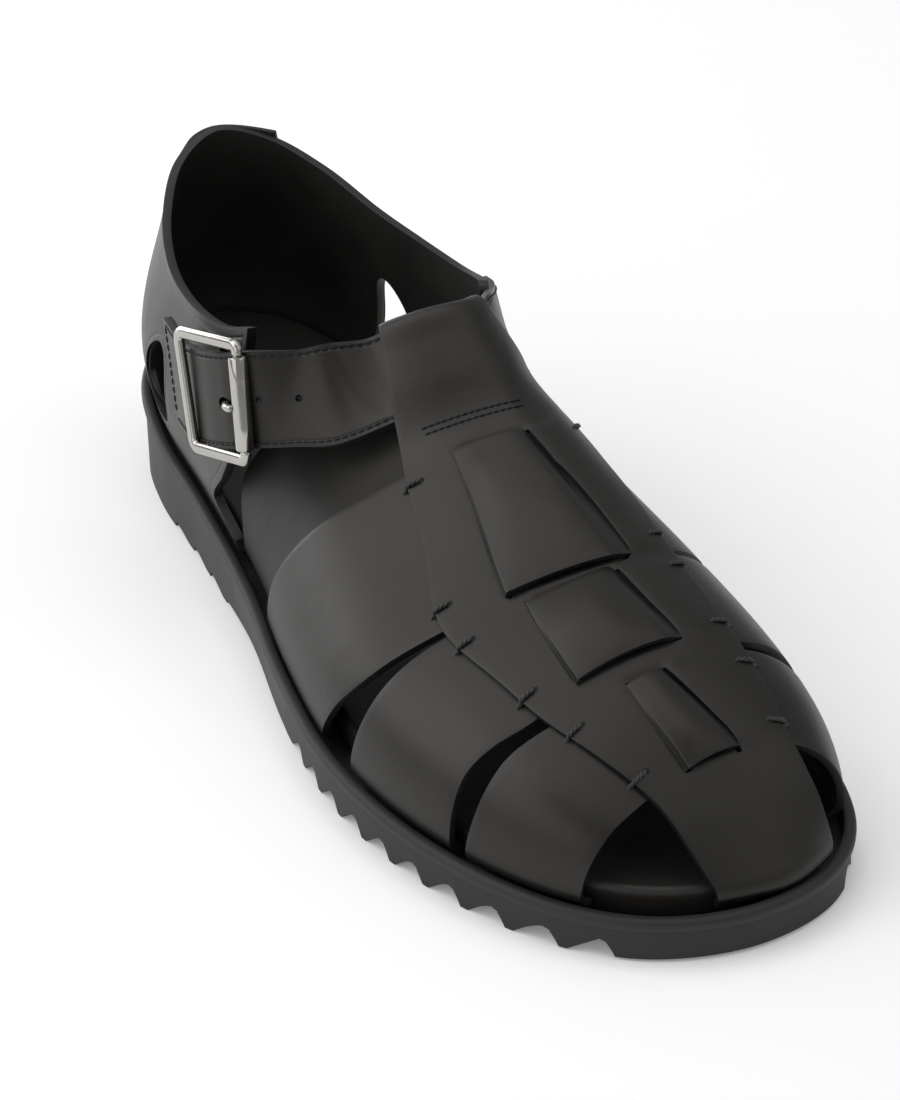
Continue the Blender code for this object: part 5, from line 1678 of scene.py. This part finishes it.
def stitch_bars(points, normals, pitch, thread):
    """Short arched stitches along a line of surface points, as bars for tubes."""
    run = np.r_[0.0, np.cumsum(np.linalg.norm(np.diff(points, axis=0), axis=1))]
    shares, heights = np.array(STITCH).T
    bars = []
    for k in range(int(run[-1] / pitch)):
        places = (k + shares) * pitch
        line = np.stack([np.interp(places, run, points[:, i]) for i in range(3)], 1)
        n = unit(np.stack([np.interp(places, run, normals[:, i]) for i in range(3)], 1))
        middle = n[len(STITCH) // 2]
        arch = line + (heights * thread)[:, None] * n
        bars.append(Bar(arch, [0.5 * thread] * len(STITCH), middle, sides=7))
    return bars


def strap_stitches(pitch, thread):
    """Rows of stitches beside both edges of the ankle strap."""
    bars = []
    for f in (STRAP_SEAM, 1.0 - STRAP_SEAM):
        last = STRAP_END - STRAP_SEAM_END
        ks = even_steps(lambda k: strap_mid(k, np.full(k.shape, f)), STRAP_SEAM_START, last, 240)
        points, normals = strap_face(ks, np.full(ks.shape, f))
        bars += stitch_bars(points, normals, pitch, thread)
    fs = np.linspace(STRAP_SEAM + STRAP_SEAM_CORNER, 1.0 - STRAP_SEAM_CORNER - STRAP_SEAM, 40)
    points, normals = strap_face(np.full(fs.shape, STRAP_SEAM_START), fs)
    return bars + stitch_bars(points, normals, pitch, thread)


def loop_stitches(pitch, thread):
    """Two rows across the centre strap that close its loop."""
    path = ribbon_path(0.25)
    ahead = unit(np.gradient(path, axis=0))
    half = TONGUE_THICK / 2
    loop_row = int(np.argmin(path[:, 0]))
    bars = []
    for s in LOOP_SEAM_S:
        row = int(np.argmin(np.abs(path[:loop_row, 0] - s)))
        top_s, top_lift = path[row, 0] + half * ahead[row, 1], path[row, 1] - half * ahead[row, 0]
        ts = np.linspace(*LOOP_SEAM_T, 60)
        points = vamp_lift(top_s, ts, top_lift - loop_drop(np.full(ts.shape, path[row, 0]), ts))
        bars += stitch_bars(points, vamp_normal(np.full(ts.shape, top_s), ts), pitch, thread)
    return bars


def whip_places():
    """Ends of the hand stitches that tie the centre strap to the bands, as s, tongue t and band t."""
    places = []
    for k in range(len(BANDS)):
        for end in (0, 1):
            for side in (0, 1):
                sign = -1.0 if side == 0 else 1.0
                s = crossing(k)[end]
                t = at(TONGUE, s)[0, side]
                s = at(BAND_EDGES, t)[0, 2 * k + end] + WHIP_INSET * (1.0 if end == 0 else -1.0)
                t = at(TONGUE, s)[0, side]
                near = vamp(np.full(2, s), np.array([t - WHIP_STEP, t + WHIP_STEP]))
                width = np.linalg.norm(near[1] - near[0]) / (2.0 * WHIP_STEP)
                places.append((s, t - sign * WHIP_IN / width, t + sign * WHIP_OUT / width, sign))
    return places


def whip_stitches(thread):
    """Two twisted plies over the strap's edge for each hand stitch, and dark matt discs at their ends,
    painted shade standing in for the holes.
    """
    bars, hole_shade_bars = [], []
    top = TONGUE_LOW + TONGUE_THICK
    for s, t_in, t_out, sign in whip_places():
        f = np.linspace(0.0, 1.0, WHIP_STEPS)
        ts = t_in + (t_out - t_in) * f
        drop = smooth((f - WHIP_DROP_FROM) / WHIP_DROP_RUN)
        lift = top * (1.0 - drop) + BAND_THICK * drop
        lift = lift + thread * (WHIP_HIGH - WHIP_DIG * (2.0 * f - 1.0) ** 8)
        line = vamp_lift(s + WHIP_SLANT * (f - 0.5), ts, lift)
        normal = vamp_normal(np.full(1, s), np.full(1, 0.5 * (t_in + t_out)))[0]
        ahead = unit(np.gradient(line, axis=0))
        side = unit(np.cross(ahead, normal))
        up = np.cross(side, ahead)
        for turn in (0.0, math.pi):
            a = turn + 2.0 * math.pi * WHIP_TURNS * f
            ply = line + PLY_OFF * thread * (np.cos(a)[:, None] * side + np.sin(a)[:, None] * up)
            bars.append(Bar(ply, [PLY_RADIUS * thread] * len(f), normal, sides=8))
        # A dark matt disc sunk into each end: painted shade standing in for the stitch hole.
        for place, height in ((0, top), (-1, BAND_THICK)):
            ends = [height - WHIP_HOLE_DEEP, height + WHIP_HOLE_PROUD]
            foot = vamp_lift(s + WHIP_SLANT * (f[place] - 0.5), ts[place], ends)
            hole_shade_bars.append(Bar(foot, [WHIP_HOLE_RADIUS * thread] * 2, ahead[place]))
    return bars, hole_shade_bars


class SandalSizes(bpy.types.PropertyGroup):
    """Sizes of the finish."""
    edge_round: FloatProperty(name="Edge rounding", description="Width of the rounded leather edges",
                              default=0.00045, min=0.0001, max=0.001, unit='LENGTH', precision=5)
    thread: FloatProperty(name="Hand thread",
                          description="Thickness of the waxed thread of the hand stitches",
                          default=0.00096, min=0.0004, max=0.003, unit='LENGTH', precision=5)
    sewing: FloatProperty(name="Machine thread", description="Thickness of the thread of the sewn rows",
                          default=0.0005, min=0.0002, max=0.002, unit='LENGTH', precision=5)
    pitch: FloatProperty(name="Stitch length", description="Length of one machine stitch",
                         default=0.0022, min=0.001, max=0.006, unit='LENGTH', precision=5)


class SandalColours(bpy.types.PropertyGroup):
    """Colours of the finish."""
    leather: FloatVectorProperty(name="Leather", description="Grain side of the straps and the quarter",
                                 default=(0.0082, 0.0075, 0.0068), subtype='COLOR', min=0.0, max=1.0)
    sheen: FloatVectorProperty(name="Sheen", description="Tint of the polish on the leather",
                               default=(1.0, 0.97, 0.935), subtype='COLOR', min=0.0, max=1.0)
    lining: FloatVectorProperty(name="Lining", description="Lining and flesh side",
                                default=(0.0130, 0.0120, 0.0108), subtype='COLOR', min=0.0, max=1.0)
    rubber: FloatVectorProperty(name="Rubber", description="Moulded sole",
                                default=(0.0115, 0.0113, 0.0110), subtype='COLOR', min=0.0, max=1.0)
    chrome: FloatVectorProperty(name="Chrome", description="Buckle plating",
                                default=(0.46, 0.45, 0.42), subtype='COLOR', min=0.0, max=1.0)
    thread: FloatVectorProperty(name="Hand thread", description="Waxed thread of the hand stitches",
                                default=(0.022, 0.0205, 0.019), subtype='COLOR', min=0.0, max=1.0)
    sewing: FloatVectorProperty(name="Machine thread", description="Thread of the sewn rows",
                                default=(0.006, 0.006, 0.006), subtype='COLOR', min=0.0, max=1.0)
    insole: FloatVectorProperty(name="Insole", description="Leather of the insole",
                                default=(0.0180, 0.0163, 0.0146), subtype='COLOR', min=0.0, max=1.0)
    floor: FloatVectorProperty(name="Floor", description="Studio floor",
                               default=(0.95, 0.95, 0.95), subtype='COLOR', min=0.0, max=1.0)


class SANDAL_OT_outsole(bpy.types.Operator):
    """Rubber sole with its lip, sawtooth forefoot, arched waist and stepped heel"""
    bl_idname = "sandal.outsole"
    bl_label = "Outsole"

    def execute(self, context):
        make_outsole()
        return {'FINISHED'}


class SANDAL_OT_insole(bpy.types.Operator):
    """Lined footbed with a rounded edge"""
    bl_idname = "sandal.insole"
    bl_label = "Insole"

    def execute(self, context):
        make_insole()
        return {'FINISHED'}


class SANDAL_OT_weave(bpy.types.Operator):
    """Centre strap, its three cross bands and the plain instep band"""
    bl_idname = "sandal.weave"
    bl_label = "Weave"

    def execute(self, context):
        skin = skin_of("strap leather")
        make_centre_strap(skin)
        for k in range(len(BANDS)):
            make_band(k, skin)
        make_instep(skin_of("instep leather", gloss=0.25))
        return {'FINISHED'}


class SANDAL_OT_quarter(bpy.types.Operator):
    """Heel cup with its cut-outs and the tab on its collar"""
    bl_idname = "sandal.quarter"
    bl_label = "Quarter and heel tab"

    def execute(self, context):
        skin = skin_of("quarter leather", line=2.4, line_depth=0.35)
        make_quarter(skin)
        make_heel_tab(skin)
        return {'FINISHED'}


class SANDAL_OT_strap(bpy.types.Operator):
    """Ankle strap with its punched holes"""
    bl_idname = "sandal.strap"
    bl_label = "Ankle strap"

    def execute(self, context):
        make_strap(skin_of("ankle strap leather", line=1.5, line_depth=0.45))
        return {'FINISHED'}


class SANDAL_OT_buckle(bpy.types.Operator):
    """Buckle frame, roller and prong, and the leather that holds them"""
    bl_idname = "sandal.buckle"
    bl_label = "Buckle"

    def execute(self, context):
        chrome = buckle_chrome()
        make_frame(chrome)
        make_roller(chrome)
        make_prong(chrome)
        make_chape(skin_of("chape leather"))
        return {'FINISHED'}


class SANDAL_OT_threads(bpy.types.Operator):
    """Hand stitches of the weave and the sewn rows of the loop and the ankle strap"""
    bl_idname = "sandal.threads"
    bl_label = "Threads"

    def execute(self, context):
        sizes = context.scene.sandal_sizes
        colours = context.scene.sandal_colours
        hand_thread = waxed_thread("waxed hand thread", tuple(colours.thread), HAND_SHINE)
        machine_thread = waxed_thread("machine thread", tuple(colours.sewing), MACHINE_SHINE)
        hand, hole_shade_bars = whip_stitches(sizes.thread / MM)
        finish_piece(to_object("hand_stitches", tubes(hand), [hand_thread]), "leather")
        # Dark matt discs at the thread's ends: painted shade standing in for the stitch holes.
        dark = flesh_side("painted hole shade", tuple(colours.lining))
        finish_piece(to_object("painted_hole_shades", tubes(hole_shade_bars), [dark]), "lining", sharp=50.0)
        sewing = sizes.sewing / MM
        rows = loop_stitches(LOOP_SEAM_PITCH, sewing) + strap_stitches(sizes.pitch / MM, sewing)
        finish_piece(to_object("sewn_rows", tubes(rows), [machine_thread]), "leather")
        return {'FINISHED'}


class SANDAL_OT_stage(bpy.types.Operator):
    """Pale floor, soft studio light and the camera"""
    bl_idname = "sandal.stage"
    bl_label = "Stage"

    def execute(self, context):
        make_floor(context)
        make_lights(context)
        make_camera(context)
        return {'FINISHED'}


def make_floor(context):
    """Pale floor under the shoe, with a slight glow that keeps it white."""
    bm = bmesh.new()
    bmesh.ops.create_grid(bm, x_segments=8, y_segments=8, size=FLOOR_HALF)
    mat, tree, shader, place = new_material("studio floor")
    paper = noise(tree, place, scale=30.0, detail=3.0, rough=0.5)
    base = tuple(context.scene.sandal_colours.floor)
    tree.links.new(tint(tree, paper, shade(base, 0.995), base), shader.inputs['Base Color'])
    shader.inputs['Roughness'].default_value = 0.85
    shader.inputs['Specular IOR Level'].default_value = 0.1
    shader.inputs['Emission Color'].default_value = (*base, 1.0)
    shader.inputs['Emission Strength'].default_value = FLOOR_GLOW
    to_object("studio_floor", bm, [mat])


def area_light(context, name, place, aim, size, power):
    """Soft box that faces a point; places in metres."""
    light = bpy.data.lights.new(name, 'AREA')
    light.shape = 'RECTANGLE'
    light.size, light.size_y = size
    light.energy = power
    lamp = bpy.data.objects.new(name, light)
    lamp.location = place
    lamp.rotation_euler = (Vector(aim) - Vector(place)).to_track_quat('-Z', 'Y').to_euler()
    context.scene.collection.objects.link(lamp)


def make_lights(context):
    """White surroundings and the soft boxes."""
    world = bpy.data.worlds.new("studio")
    world.use_nodes = True
    sky = world.node_tree.nodes['Background']
    sky.inputs['Color'].default_value = (1.0, 1.0, 1.0, 1.0)
    sky.inputs['Strength'].default_value = WORLD_LIGHT
    context.scene.world = world
    for name, place, aim, size, power in LIGHTS:
        area_light(context, name, place, aim, size, power)
    context.scene.view_settings.view_transform = 'Standard'


def make_camera(context):
    """Camera at the photograph's viewing angle, framing the one shoe."""
    data = bpy.data.cameras.new("camera")
    data.sensor_width = SENSOR_MM
    data.lens = CAMERA_FOCAL_PX * SENSOR_MM / PICTURE_LONG_PX
    camera = bpy.data.objects.new("camera", data)
    place, aim = Vector(CAMERA_PLACE) * MM, Vector(CAMERA_AIM) * MM
    camera.location = place
    camera.rotation_mode = 'QUATERNION'
    camera.rotation_quaternion = (aim - place).to_track_quat('-Z', 'Y')
    context.scene.collection.objects.link(camera)
    context.scene.camera = camera


STEPS = ("outsole", "insole", "weave", "quarter", "strap", "buckle", "threads", "stage")


class SANDAL_PT_panel(bpy.types.Panel):
    """Sizes, colours and the steps that build the sandal"""
    bl_idname = "SANDAL_PT_panel"
    bl_label = "Woven sandal"
    bl_space_type = 'VIEW_3D'
    bl_region_type = 'UI'
    bl_category = "Sandal"

    def draw(self, context):
        for group in (context.scene.sandal_sizes, context.scene.sandal_colours):
            for name in group.__annotations__:
                self.layout.prop(group, name)
        for step in STEPS:
            self.layout.operator("sandal." + step)


CLASSES = (
    SandalSizes,
    SandalColours,
    SANDAL_OT_outsole,
    SANDAL_OT_insole,
    SANDAL_OT_weave,
    SANDAL_OT_quarter,
    SANDAL_OT_strap,
    SANDAL_OT_buckle,
    SANDAL_OT_threads,
    SANDAL_OT_stage,
    SANDAL_PT_panel,
)


def register():
    """Adds the classes and the scene's settings to Blender."""
    for cls in CLASSES:
        bpy.utils.register_class(cls)
    bpy.types.Scene.sandal_sizes = PointerProperty(type=SandalSizes)
    bpy.types.Scene.sandal_colours = PointerProperty(type=SandalColours)


def unregister():
    """Takes the settings and the classes out again."""
    del bpy.types.Scene.sandal_colours
    del bpy.types.Scene.sandal_sizes
    for cls in reversed(CLASSES):
        bpy.utils.unregister_class(cls)


def main():
    """Registers the classes and settings, then builds the stage and every piece."""
    register()
    bpy.ops.sandal.stage()
    bpy.ops.sandal.outsole()
    bpy.ops.sandal.insole()
    bpy.ops.sandal.weave()
    bpy.ops.sandal.quarter()
    bpy.ops.sandal.strap()
    bpy.ops.sandal.buckle()
    bpy.ops.sandal.threads()


if __name__ == "__main__":
    main()
